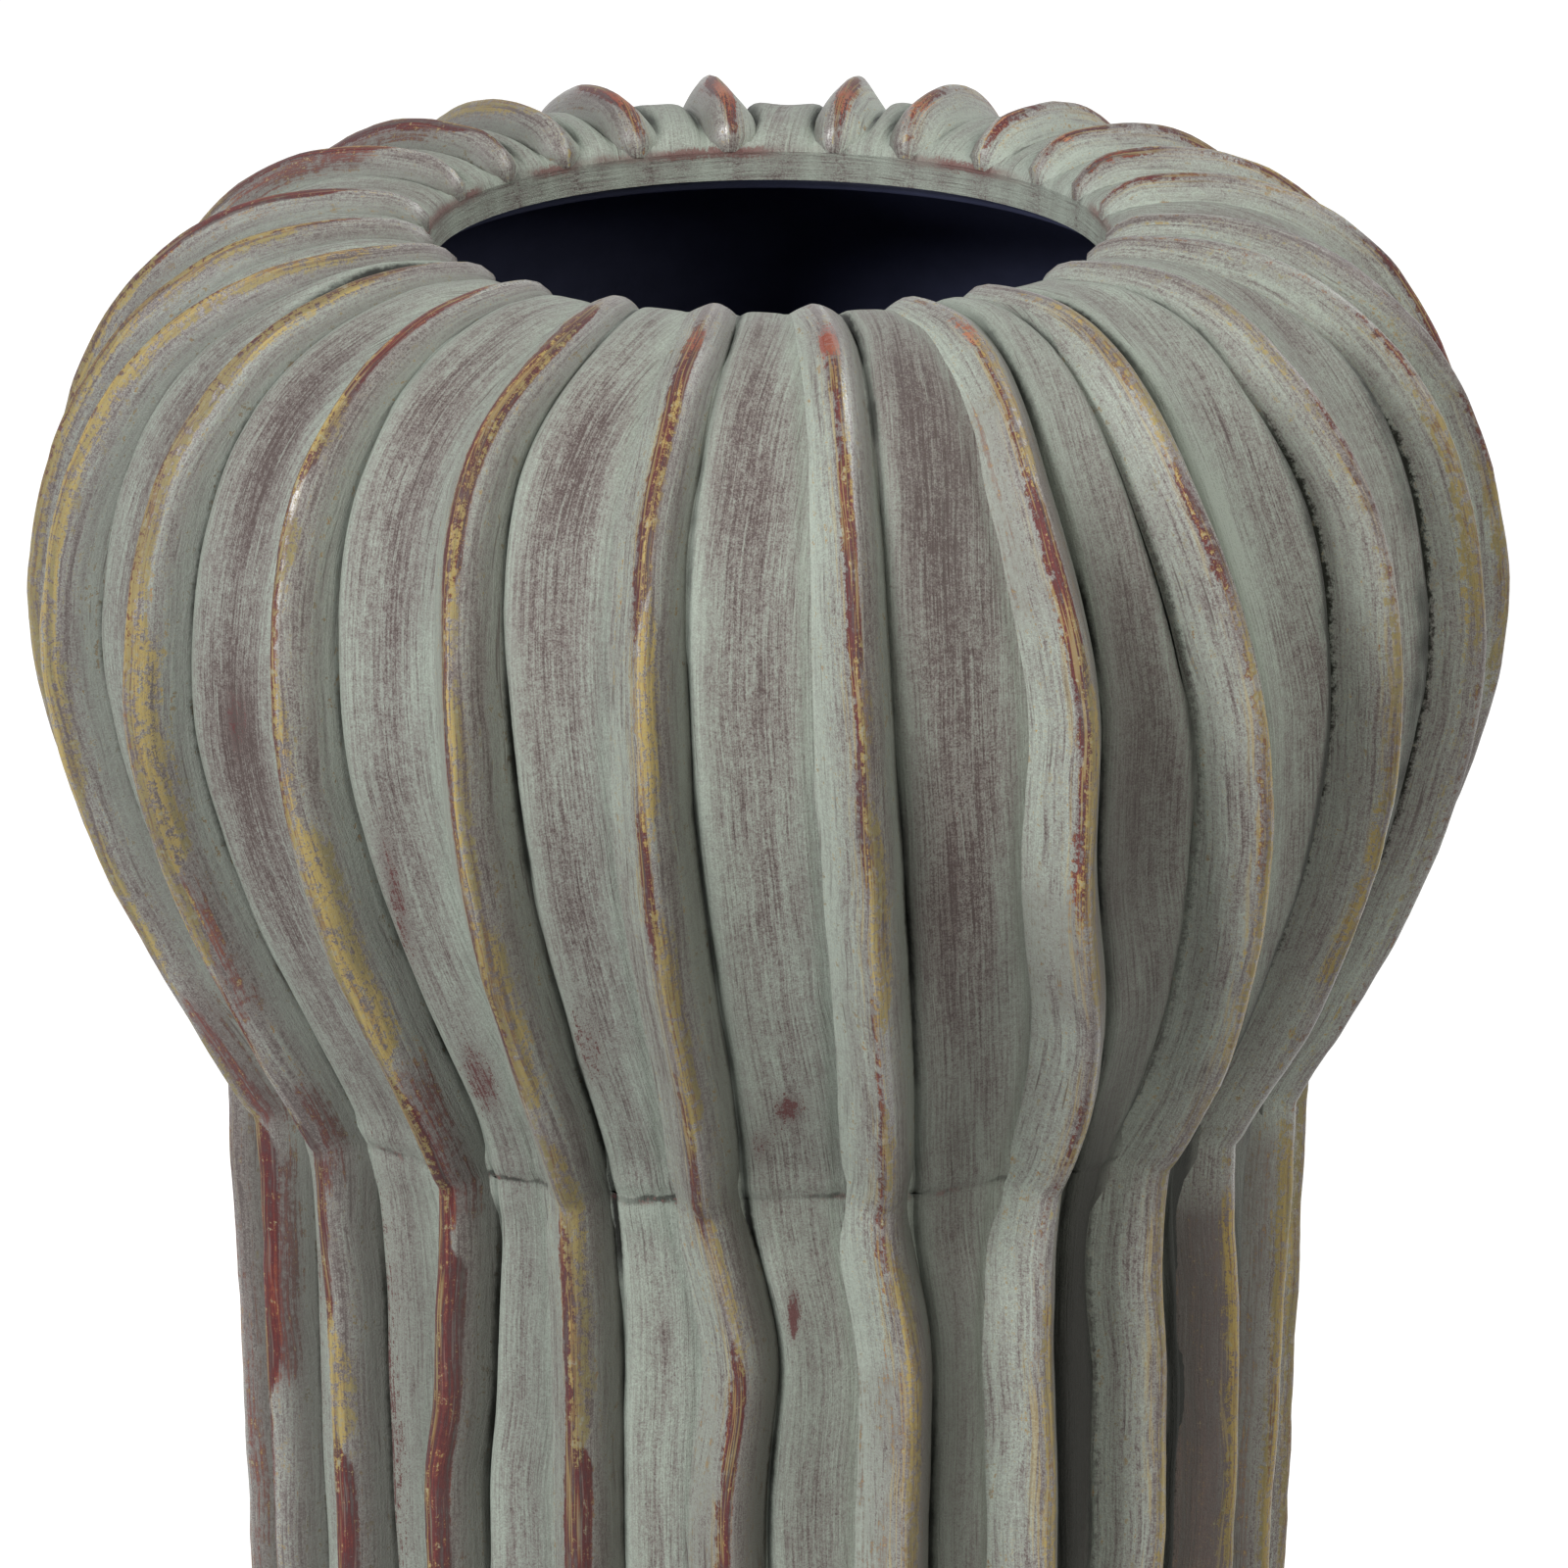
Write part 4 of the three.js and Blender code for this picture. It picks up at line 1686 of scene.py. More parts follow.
class RolledWallTree(ShapeTree):
    """Rolls a flat pattern sheet into a hand-worked wall."""

    crack_widening = 0.9
    crease_noise = Grain(24.0, 1.0)
    open_creases: Span = (0.38, 0.62)
    shut_crease = 0.15
    left_swell: Span = (0.3, 0.7)
    bumps = Grain(28.0)
    dents = Grain(90.0, which=5.0)
    dent_share = 0.22

    def __init__(self) -> None:
        """Builds the tree."""
        labels = ("Groove Depth", "Groove Width", "Swell Height", "Swell Reach", "Unevenness", "Seed")
        sockets = [(label, "NodeSocketFloat") for label in labels]
        sockets += [(label, "NodeSocketMaterial") for label in ("Paint", "Lining")]
        super().__init__("rolled_wall", sockets)
        graph = self.graph
        bearing = self.named("bearing")
        self.sine = graph.math("SINE", bearing)
        self.cosine = graph.product(graph.math("COSINE", bearing), -1.0)
        radius, level, _ = self.parts("ring")
        out, up, _ = self.parts("facing")
        offset = self.offset(self.turned(radius, level))
        place = self.turned(
            graph.total(radius, graph.product(offset, out)), graph.total(level, graph.product(offset, up))
        )
        feeds = {0: self.named("inside")}
        inside = graph.add("GeometryNodeFieldOnDomain", feeds, domain="FACE", data_type="FLOAT")
        feeds = {0: inside.outputs[0], 1: 0.5}
        lined = graph.add("FunctionNodeCompare", feeds, data_type="FLOAT", operation="GREATER_THAN")
        geometry = self.moved(self.given["Geometry"], place)
        self.close(geometry, (("Paint", None), ("Lining", lined.outputs[0])))

    def turned(self, radius: Socket, level: Socket) -> Socket:
        """Returns the point at a radius and height, turned to the pattern column's bearing."""
        graph = self.graph
        return graph.combine(graph.product(radius, self.sine), graph.product(radius, self.cosine), level)

    def offset(self, place: Socket) -> Socket:
        """Works out how far the wall stands off its plain line.

        Args:
            place: the point on the plain line.

        Returns:
            The distance outward, from creases, swellings, bumps and dents.
        """
        graph, given = self.graph, self.given
        right_of_rib, left_of_rib, open_air = self.parts("tuck")
        right_of_rib = graph.product(right_of_rib, MM)
        left_of_rib = graph.product(left_of_rib, MM)
        crack = self.named("crack")
        widening = graph.math("MAXIMUM", graph.product(crack, self.crack_widening), 1.0)
        groove = self.groove(right_of_rib, given["Groove Width"])
        cracked = self.groove(left_of_rib, graph.product(given["Groove Width"], widening))
        groove = graph.math("MAXIMUM", groove, graph.product(cracked, crack))
        opened = graph.smooth(self.noise(place, self.crease_noise), *self.open_creases)
        groove = graph.product(groove, given["Groove Depth"], graph.total(self.shut_crease, opened))
        left_swell = graph.product(self.fullness(left_of_rib), graph.line(crack, *self.left_swell))
        swell = graph.product(graph.total(self.fullness(right_of_rib), left_swell), given["Swell Height"])
        bumps = graph.swing(self.noise(place, self.bumps), given["Unevenness"])
        dent_depth = graph.product(given["Unevenness"], self.dent_share)
        dents = graph.swing(self.noise(place, self.dents), dent_depth)
        return graph.product(graph.total(swell, graph.product(groove, -1.0), bumps, dents), open_air)

    def groove(self, distance: Socket, width: Socket) -> Socket:
        """Returns a rounded groove's depth, 1 at no distance and dying away over a width."""
        share = self.graph.math("DIVIDE", distance, width)
        return self.graph.math("EXPONENT", self.graph.product(share, share, -1.0))

    def fullness(self, distance: Socket) -> Socket:
        """Returns a swelling that starts at nothing, is 1 at its reach and dies away."""
        share = self.graph.math("DIVIDE", distance, self.given["Swell Reach"])
        return self.graph.product(share, self.graph.math("EXPONENT", self.graph.rest(share)))


# ---- pieces


@dataclass(frozen=True)
class Wear:
    """Worn stretches of one rib, each (start, end, strength) along the wall in mm.

    Red, ochre and bare lie on the crest, flank on its right side, and dull over the whole rib.
    """

    red: Stretches = ()
    ochre: Stretches = ()
    bare: Stretches = ()
    flank: Stretches = ()
    dull: Stretches = ()

    def on_crest(self, along: np.ndarray) -> np.ndarray:
        """Returns (red, ochre, bare) at each distance along the wall."""
        return np.stack([strongest(rows, along) for rows in (self.red, self.ochre, self.bare)], 1)


# How long the soft end of a worn stretch is at most, and how far a short one's ends overlap, mm
LONGEST_EASE = 24.0
EASE_OVERLAP = 6.0


def strongest(stretches: Stretches, along: np.ndarray) -> np.ndarray:
    """Reads the strongest of some stretches, which have soft ends.

    Args:
        stretches: (start, end, strength) of each.
        along: distances along the wall.

    Returns:
        The strength at each distance.
    """
    result = np.zeros(len(along))
    for start, end, strength in stretches:
        ease = 0.5 * min(LONGEST_EASE, end - start + EASE_OVERLAP)
        rising = np.clip((along - start) / ease + 0.5, 0, 1)
        falling = np.clip((end - along) / ease + 0.5, 0, 1)
        result = np.maximum(result, strength * rising * falling)
    return result


# How opaque the wash is on the left side of ribs that aren't fresh there
LEFT_WASH = {
    **dict.fromkeys(range(1, 7), 0.25),
    8: 0.4,
    9: 0.5,
    10: 0.35,
    11: 0.2,
    12: 0.4,
}

# How far left of its common line the ochre lies on single ribs, mm
GOLD_ASIDE = {9: 0.6, 10: 1.6, 11: 2.4, 12: 2.2}

RIB_WEAR = {
    1: Wear(
        ochre=((330, 470, 1.0),),
        red=((385, 480, 1.4), (120, 262, 1.0)),
        flank=((120, 262, 0.8), (290, 330, 0.6)),
    ),
    2: Wear(
        ochre=((350, 478, 1.1), (340, 378, 1.3), (300, 340, 0.9), (262, 290, 0.6)),
        red=((400, 480, 1.2), (300, 345, 0.8), (208, 266, 2.8), (100, 208, 1.0)),
        flank=((208, 262, 1.0), (262, 300, 1.0)),
    ),
    3: Wear(
        red=((375, 478, 1.4), (345, 375, 0.6), (290, 330, 1.0), (228, 280, 1.6), (100, 205, 2.8)),
        ochre=((385, 470, 1.0), (338, 388, 2.1), (318, 338, 1.0), (203, 228, 1.4)),
        flank=((300, 365, 0.8), (255, 290, 1.0), (150, 205, 0.7)),
    ),
    4: Wear(
        red=((420, 478, 1.7), (355, 420, 1.0), (292, 330, 0.7), (252, 300, 2.0), (100, 255, 3.2)),
        ochre=((425, 440, 0.8), (403, 417, 0.9), (355, 385, 0.8), (305, 358, 1.9), (262, 305, 0.5)),
        flank=((255, 305, 0.9), (100, 240, 0.6)),
    ),
    5: Wear(
        red=((405, 478, 2.1), (350, 410, 0.8), (300, 350, 0.9), (217, 262, 1.4), (100, 217, 2.8)),
        ochre=((395, 470, 0.7), (345, 392, 0.8), (298, 345, 1.3), (215, 290, 1.2)),
    ),
    6: Wear(
        red=((405, 472, 1.5), (340, 372, 1.2), (262, 310, 0.7), (100, 238, 1.3)),
        ochre=((410, 450, 0.5), (365, 410, 1.1), (295, 350, 1.0), (232, 272, 0.7), (100, 180, 0.5)),
        bare=((460, 472, 0.9),),
        dull=((60, 232, 0.4),),
    ),
    7: Wear(
        red=((440, 465, 0.9), (392, 440, 1.2), (355, 395, 0.9), (250, 330, 0.4)),
        ochre=((425, 460, 0.4), (378, 397, 0.8), (325, 370, 1.3), (275, 298, 0.7), (100, 258, 1.2)),
        bare=((458, 472, 1.2),),
        dull=((40, 236, 0.5),),
    ),
    8: Wear(
        red=((430, 468, 0.6), (386, 430, 1.1), (345, 388, 0.8), (275, 305, 0.5)),
        ochre=((430, 470, 1.0), (320, 392, 1.2), (280, 305, 0.6), (100, 245, 1.2)),
        bare=((460, 472, 0.9),),
        dull=((400, 452, 0.5), (316, 352, 0.5)),
    ),
    9: Wear(
        red=((440, 465, 0.5), (400, 428, 0.7), (372, 395, 0.35), (345, 372, 0.5)),
        ochre=(
            (430, 470, 1.2),
            (385, 402, 0.5),
            (338, 384, 1.1),
            (300, 338, 1.9),
            (262, 300, 0.6),
            (100, 264, 1.2),
        ),
    ),
    10: Wear(
        red=((405, 430, 0.5), (380, 400, 0.3)),
        ochre=((440, 460, 0.5), (350, 388, 1.0), (312, 350, 0.7), (100, 252, 1.6)),
        dull=((60, 255, 1.1),),
    ),
    11: Wear(red=((425, 440, 0.6),), ochre=((376, 422, 0.9), (100, 258, 1.4)), dull=((60, 262, 0.6),)),
    12: Wear(ochre=((360, 400, 0.8), (100, 262, 1.1)), red=((390, 415, 0.5),)),
    18: Wear(red=((474, 489, 1.8),), bare=((478, 490, 1.0),)),
    19: Wear(red=((468, 489, 2.2),), bare=((476, 490, 1.2),), flank=((466, 487, 0.8),)),
    20: Wear(red=((464, 489, 2.2),), bare=((478, 489, 1.0),), flank=((460, 486, 0.8),)),
    21: Wear(red=((440, 484, 1.0),), ochre=((436, 482, 1.2),), flank=((450, 482, 0.6),)),
    22: Wear(red=((428, 486, 2.3),), ochre=((400, 440, 0.8),), flank=((440, 480, 0.9),)),
    23: Wear(red=((405, 480, 1.7),), ochre=((380, 440, 0.9),), flank=((440, 478, 0.9),)),
    24: Wear(red=((385, 480, 2.0), (120, 262, 0.9)), ochre=((330, 440, 1.0),), flank=((420, 470, 0.5),)),
}

# The first of the numbers that start the hidden ribs' random draws
HIDDEN_DRAWS = 400


def hidden_wear(number: int) -> Wear:
    """Draws worn stretches for a rib round the back, different for each and always the same.

    Args:
        number: the rib's number.

    Returns:
        Its wear.
    """
    draw = np.random.default_rng(HIDDEN_DRAWS + number)
    start = draw.uniform(290, 330)
    red_start = draw.uniform(385, 410)
    low = draw.uniform(60, 140)
    top_red = (red_start, red_start + draw.uniform(40, 75), 1.0)
    low_red = (low, low + draw.uniform(50, 130), 0.9)
    return Wear(
        red=(top_red, low_red, (476, 490, 1.0)),
        ochre=((start, start + draw.uniform(45, 85), 1.1), (440, 470, 0.6)),
        bare=((481, 491, draw.uniform(0.2, 0.8)),),
    )


# How open the crease on a rib's left side is, both its groove and its painted shade: smoothed into the wall
# at 4 to 8, undercut at 9 to 11
LEFT_CREASES = {4: 0.12, 5: 0.12, 6: 0.12, 7: 0.12, 8: 0.12, 9: 1.5, 10: 2.3, 11: 3.0}

# Where along the wall the undercut creases have closed to the common one, and over what reach, mm
UNDERCUT_END = 448.0
UNDERCUT_EASE = 30.0


def crease_opening(number: int, along: np.ndarray) -> np.ndarray:
    """Tells how open the crease on a rib's left side is, common towards the mouth.

    Args:
        number: the rib's number.
        along: distances along the wall.

    Returns:
        The opening at each distance, where 1 is common.
    """
    opening = LEFT_CREASES.get(number, 1.0)
    below = np.clip((UNDERCUT_END - along) / UNDERCUT_EASE, 0.0, 1.0)
    return np.where(opening > 1.0, 1.0 + (opening - 1.0) * below, opening)


def seat(piece: bpy.types.Object, slot: Slot, node: str) -> bpy.types.Object:
    """Puts a piece on the frame in place of a CAD node.

    Args:
        piece: the piece.
        slot: its material slot; not used.
        node: the CAD node that it replaces.

    Returns:
        The piece.
    """
    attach(piece, BODY)
    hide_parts(node)
    log.info("%s: %d faces", piece.name, len(piece.data.polygons))
    return piece


@dataclass
class Rib:
    """One hand-rolled coil from the mouth to the foot, in millimetres."""

    number: int
    layout: RibLayout
    row_step: float = 2.4
    points_around: int = 40
    seat_depth: float = 0.9
    wander: float = 1.1
    unevenness: float = 0.14
    dent_depth: float = 0.30
    crest_lean: float = 0.55
    bend_softening: float = 5.0
    end_round: float = 5.0
    end_slope: float = 9.0
    end_drop: float = 0.98
    end_blunt: float = 0.5

    def taper(self, along: np.ndarray, reach: float) -> np.ndarray:
        """Returns 1 along the rib, falling like a quarter circle over its last reach."""
        left = np.clip((self.layout.wall.tip - along) / reach, 0.0, 1.0)
        return np.sqrt(1 - self.end_drop * (1 - left) ** 2)

    def course(self, along: np.ndarray) -> tuple[np.ndarray, np.ndarray, np.ndarray]:
        """Follows the rib along the wall.

        Args:
            along: distances along the wall.

        Returns:
            Points in metres, and the directions out of the wall and to the rib's side.
        """
        point, out = self.layout.wall.at(along, soften=self.bend_softening)
        angle = self.layout.angles(self.number - 1, along)
        sine, cosine = np.sin(angle), -np.cos(angle)
        spine = np.stack([point[:, 0] * sine, point[:, 0] * cosine, point[:, 1]], 1) * MM
        wall_out = np.stack([out[:, 0] * sine, out[:, 0] * cosine, out[:, 1]], 1)
        side = np.cross(np.gradient(spine, axis=0), wall_out)
        return spine, wall_out, side / np.linalg.norm(side, axis=1)[:, None]

    def guide(self) -> bpy.types.Mesh:
        """Draws the line that the coil follows, with its section and wear at each point.

        Returns:
            The line's mesh.
        """
        rows = int(self.layout.wall.tip / self.row_step)
        along = np.linspace(0.0, self.layout.wall.tip, rows)
        spine, wall_out, side = self.course(along)
        half = self.layout.widths(self.number - 1, along) / 2
        height = self.layout.heights(self.number - 1, along)
        narrowing, lowering = (self.taper(along, reach) for reach in (self.end_round, self.end_slope))
        blunt = self.end_blunt + (1.0 - self.end_blunt) * narrowing
        section = np.stack([half * blunt, height * lowering, self.crest_lean * np.ones(rows)], 1) * MM
        fatness = ((0, 0.3), (self.layout.wall.waist, 0.15), (430, 0.1), (470, 0.3), (490, 0.5))
        wear = RIB_WEAR.get(self.number) or hidden_wear(self.number)
        mesh = bpy.data.meshes.new(f"guide_{self.number:02d}")
        mesh.from_pydata(spine.tolist(), [(i, i + 1) for i in range(rows - 1)], [])
        shape = {"spine": spine, "wall_out": wall_out, "wall_side": side, "section": section}
        course = {"along": along, "half": half, "fat": smooth_through(fatness, along)}
        steady = {
            "seed": float(self.number),
            "fresh": LEFT_WASH.get(self.number, 1.0),
            "aside": GOLD_ASIDE.get(self.number, 0.0),
        }
        worn = {
            "wear": wear.on_crest(along),
            "flank": strongest(wear.flank, along),
            "dull": strongest(wear.dull, along),
            "crack": crease_opening(self.number, along),
        }
        steady_rows = {name: np.full(rows, value) for name, value in steady.items()}
        carry(mesh, {**shape, **course, **steady_rows, **worn})
        return mesh

    def build(self, shape: ShapeTree, paint: bpy.types.Material) -> bpy.types.Object:
        """Makes the rib, riding on the frame in place of its CAD node.

        Args:
            shape: the tree that sweeps the coil.
            paint: the rib's material.

        Returns:
            The piece.
        """
        values = {
            "Points Around": self.points_around,
            "Seat Depth": self.seat_depth * MM,
            "Wander": self.wander * MM,
            "Unevenness": self.unevenness,
            "Dent Depth": self.dent_depth * MM,
            "Seed": float(self.number),
            "Paint": paint,
        }
        piece = shape.run(f"coil_{self.number:02d}", self.guide(), values)
        return seat(piece, Slot.RIB, f"rib_{self.number:02d}")


class Mark(Enum):
    """What a stain on the wall shows: thin wash, thick wash as painted light, dark red slip, or painted
    shade.
    """

    HAZE = "haze"
    # Painted light: thickens the pale wash where the wall is lit or catches a highlight
    PAINTED_LIGHT = "mint"
    BLOOD = "blood"
    # Painted shade: darkens the wall where shadow falls
    PAINTED_SHADE = "painted_shade"


@dataclass(frozen=True)
class Stain:
    """One soft-edged place of the wall, in degrees across and millimetres along it."""

    mark: Mark
    angle: float
    place: float
    half_wide: float
    half_tall: float
    strength: float

    def at(self, angle: np.ndarray, along: np.ndarray) -> np.ndarray:
        """Returns how strong the stain is at angles from the front and distances along the wall."""
        across = (angle - self.angle) / self.half_wide
        return self.strength * np.exp(-(across**2 + ((along - self.place) / self.half_tall) ** 2))


# The wall's stains in the order in which they are laid; the rows of thick pale wash are painted light, and
# the rows of dark grey-brown are painted shade
HAZE, PAINTED_LIGHT, BLOOD, PAINTED_SHADE = Mark
STAIN_ROWS = (
    (HAZE, -66, 420, 4, 40, 0.7),
    (HAZE, -51, 425, 4.5, 34, 1.3),
    (HAZE, -50, 366, 5, 36, 1.4),
    (HAZE, -34, 430, 4.5, 38, 0.9),
    (HAZE, -34, 345, 3.2, 50, 0.6),
    (HAZE, -18, 432, 4.5, 40, 1.1),
    (HAZE, -18, 330, 3.4, 40, 0.7),
    (HAZE, -1.5, 440, 4.5, 34, 1.1),
    (HAZE, 0, 380, 1.8, 34, 0.6),
    (HAZE, 16, 438, 6.5, 46, 1.7),
    (PAINTED_SHADE, 17, 430, 5.5, 44, 0.45),
    (HAZE, 15.6, 350, 5, 70, 1.0),
    (PAINTED_LIGHT, 29.5, 435, 5, 36, 0.9),
    (PAINTED_LIGHT, 61, 425, 7, 50, 1.0),
    (PAINTED_LIGHT, 47.5, 405, 5, 50, 1.3),
    (PAINTED_LIGHT, 112, 468, 34, 22, 1.0),
    (HAZE, 32, 360, 6, 66, 0.8),
    (PAINTED_LIGHT, 43, 415, 5, 34, 1.0),
    (BLOOD, -34, 338, 1.2, 24, 0.7),
    (BLOOD, -50, 372, 2, 10, 0.6),
    (BLOOD, -62, 300, 5, 24, 1.1),
    (BLOOD, 15.6, 350, 2.2, 40, 0.3),
    (BLOOD, 2.9, 243, 0.8, 7, 1.2),
    (BLOOD, 2, 293, 1.8, 5, 0.95),
    (BLOOD, -0.8, 284, 1.6, 6, 0.7),
    (BLOOD, -17.5, 308, 2, 14, 0.65),
    (BLOOD, -30, 296, 2.4, 12, 0.8),
    (BLOOD, 0.4, 232, 0.6, 8, 1.0),
    (PAINTED_LIGHT, -13, 266, 4.5, 6, 1.0),
    (BLOOD, -70, 225, 6, 46, 1.2),
    (BLOOD, -51, 210, 4, 60, 0.8),
    (BLOOD, -56, 286, 5, 14, 0.9),
    (PAINTED_SHADE, 31, 350, 7, 70, 1.1),
    (PAINTED_SHADE, 11, 330, 2.6, 60, 1.2),
    (PAINTED_SHADE, 6, 215, 4, 70, 0.6),
    (PAINTED_SHADE, 21, 215, 6, 80, 1.1),
    (PAINTED_SHADE, 38, 220, 5, 95, 2.0),
    (BLOOD, 39.5, 210, 0.9, 30, 1.0),
    (BLOOD, 60, 210, 1.4, 60, 0.8),
    (BLOOD, 78, 230, 2, 30, 1.0),
    (PAINTED_SHADE, 50, 290, 6, 40, 0.6),
    (PAINTED_SHADE, 55, 215, 5, 90, 1.7),
    (PAINTED_SHADE, 68, 200, 4, 90, 1.5),
    (PAINTED_SHADE, -44, 215, 4, 80, 0.8),
    (PAINTED_SHADE, -28, 215, 3, 80, 0.5),
    (PAINTED_SHADE, 64, 235, 9, 60, 1.4),
    (PAINTED_SHADE, 62, 318, 5, 28, 0.7),
    (PAINTED_SHADE, 22, 335, 3, 40, 0.6),
)
STAINS = tuple(Stain(*row) for row in STAIN_ROWS)


@dataclass(frozen=True)
class Rows:
    """The level rows of a rolled wall's pattern, in order round its section."""

    along: np.ndarray
    ring: np.ndarray
    facing: np.ndarray
    inside: np.ndarray


# The facing of every row that looks at the vase's axis
INWARD = (-1.0, 0.0)


@dataclass
class Shell:
    """A hollow wall that is rolled from a flat pattern whose columns follow the ribs."""

    name: str
    node: str
    layout: RibLayout
    columns: int = 18
    buried: int = 4
    groove_depth: float = 1.1
    groove_width: float = 0.9
    swell_height: float = 1.4
    swell_reach: float = 2.6
    unevenness: float = 0.9
    shelf: float = 0.6
    shelf_place: float = 4.5
    shelf_reach: float = 3.0
    fillet: float = 1.8
    fillet_reach: float = 6.0
    level_reach: float = 6.0
    groove_room: float = 3.0
    rib_end_room: float = 1.0
    rib_end_reach: float = 22.0
    lane_step: float = 40.0
    lip_reach: float = 1.3
    # Painted shade on the inner band of the mouth
    mouth_painted_shade: float = 0.5
    mouth_edge: float = 0.01
    seed: float = 3.0

    @property
    def wall(self) -> Wall:
        """The wall's line."""
        return self.layout.wall

    def lines(self) -> Rows:
        """Returns the pattern's rows."""
        raise NotImplementedError

    def shares(self, start: np.ndarray, stop: np.ndarray) -> list[np.ndarray]:
        """Places the pattern's columns from the middle of one rib to the middle of the next.

        Args:
            start: where the open wall begins in each row, as a share of the gap.
            stop: where it ends.

        Returns:
            Each column's share of the gap, close together beside the ribs.
        """
        half = self.buried / 2
        share = np.linspace(0.0, 1.0, self.columns - self.buried + 1)
        eased = 0.5 * (share + share * share * (3 - 2 * share))
        under_left = [start * k / half for k in range(self.buried // 2)]
        under_right = [1 + (stop - 1) * (1 - k / half) for k in range(1, self.buried // 2)]
        return under_left + [start + (stop - start) * e for e in eased] + under_right

    def columns_in(self, gap: int, rows: Rows) -> list[dict[str, np.ndarray]]:
        """Reads what the pattern's columns carry between two ribs.

        Args:
            gap: the rib on the left, counted from 0.
            rows: the pattern's rows.

        Returns:
            Each column's values by name.
        """
        wall, layout = self.wall, self.layout
        on_wall = np.clip(rows.along, 0.0, wall.tip)
        rib_end = np.clip((wall.tip + self.rib_end_room - rows.along) / self.rib_end_reach, 0.0, 1.0)
        ribbed = rib_end * (rows.inside < 0.5)
        left = layout.angles(gap, on_wall)
        right = layout.angles((gap + 1) % layout.count, on_wall)
        if gap == layout.count - 1:
            right = right + 2 * math.pi
        wide = (right - left) * rows.ring[:, 0]
        start = layout.widths(gap, on_wall) / 2 / wide
        stop = 1 - layout.widths(gap + 1, on_wall) / 2 / wide
        crease = crease_opening(gap + 2, rows.along)
        return [
            {
                "bearing": left + (right - left) * part,
                "tuck": np.stack([np.abs((part - start) * wide), np.abs((stop - part) * wide), ribbed], 1),
                "lane": gap * self.lane_step + part * wide,
                "crack": crease,
            }
            for part in self.shares(start, stop)
        ]

    def pattern(self) -> bpy.types.Mesh:
        """Cuts the flat pattern sheet, joined round, that the tree rolls into the wall.

        Returns:
            The sheet's mesh, with what the tree and the paint read.
        """
        rows = self.lines()
        columns = [column for gap in range(self.layout.count) for column in self.columns_in(gap, rows)]
        turns, count = len(columns), len(columns) * len(rows.along)
        order = np.arange(count).reshape(turns, -1)
        beside = np.roll(order, -1, axis=0)
        faces = np.stack([order, beside, np.roll(beside, -1, axis=1), np.roll(order, -1, axis=1)], -1)
        flat_x = np.repeat(np.arange(turns) * MM, len(rows.along))
        sheet = np.stack([flat_x, np.tile(rows.along * MM, turns), np.zeros(count)], 1)
        mesh = bpy.data.meshes.new(f"{self.name}_pattern")
        mesh.from_pydata(sheet.tolist(), [], faces.reshape(-1, 4).tolist())
        carried = {name: np.concatenate([column[name] for column in columns]) for name in columns[0]}
        blank = np.zeros(len(rows.along))
        along = np.tile(rows.along, turns)
        stain, painted_shade = self.stains(carried["bearing"], along)
        round_mouth = along > self.wall.tip + self.mouth_edge
        carried["along"] = np.where(round_mouth, carried["lane"], along)
        carried["lane"] = np.where(round_mouth, along, carried["lane"])
        carried["ring"] = np.tile(np.column_stack([rows.ring * MM, blank]), (turns, 1))
        carried["facing"] = np.tile(np.column_stack([rows.facing, blank]), (turns, 1))
        carried["inside"] = np.tile(rows.inside, turns)
        carried["seed"] = np.full(count, self.seed)
        carry(mesh, {**carried, "stain": stain, "painted_shade": painted_shade})
        return mesh

    def stains(self, bearing: np.ndarray, along: np.ndarray) -> tuple[np.ndarray, np.ndarray]:
        """Lays the stains on the wall, painted light and painted shade among them.

        Args:
            bearing: each point's angle from the front.
            along: its distance along the wall.

        Returns:
            Rows of haze less painted light, dark red and rubbed lip, and how much painted shade lies at
            each point.
        """
        turned = (np.degrees(bearing) + 180.0) % 360.0 - 180.0
        haze, blood, painted_shade = np.zeros((3, len(bearing)))
        for stain in STAINS:
            strength = stain.at(turned, along)
            if stain.mark is HAZE:
                haze = np.maximum(haze, strength)
            # Painted light lowers the haze row, which thickens the pale wash
            elif stain.mark is PAINTED_LIGHT:
                haze = haze - strength
            elif stain.mark is BLOOD:
                blood = np.maximum(blood, strength)
            # Painted shade
            else:
                painted_shade = np.maximum(painted_shade, strength)
        lip = np.exp(-(((along - self.wall.tip) / self.lip_reach) ** 2))
        # Painted shade on the mouth's inner band
        mouth = self.mouth_painted_shade * (along > self.wall.tip + self.mouth_edge)
        return np.stack([haze, blood, lip], 1), np.maximum(painted_shade, mouth)

    def outside(self, along: np.ndarray) -> tuple[np.ndarray, np.ndarray]:
        """Reads the outer rows, level at the waist with a rolled shelf and a soft crease there.

        Args:
            along: distances along the wall.

        Returns:
            Points as (radius, height) and their facings.
        """
        ring, facing = self.wall.at(along)
        away = np.abs(along - self.wall.waist)
        share = np.clip(away / self.level_reach, 0.0, 1.0)[:, None]
        facing = share * facing + (1.0 - share) * np.array([1.0, 0.0])
        facing = facing / np.linalg.norm(facing, axis=1)[:, None]
        shelf = self.shelf * np.exp(-(((away - self.shelf_place) / self.shelf_reach) ** 2))
        offset = shelf + self.fillet * np.exp(-away / self.fillet_reach)
        return ring + facing * offset[:, None], facing

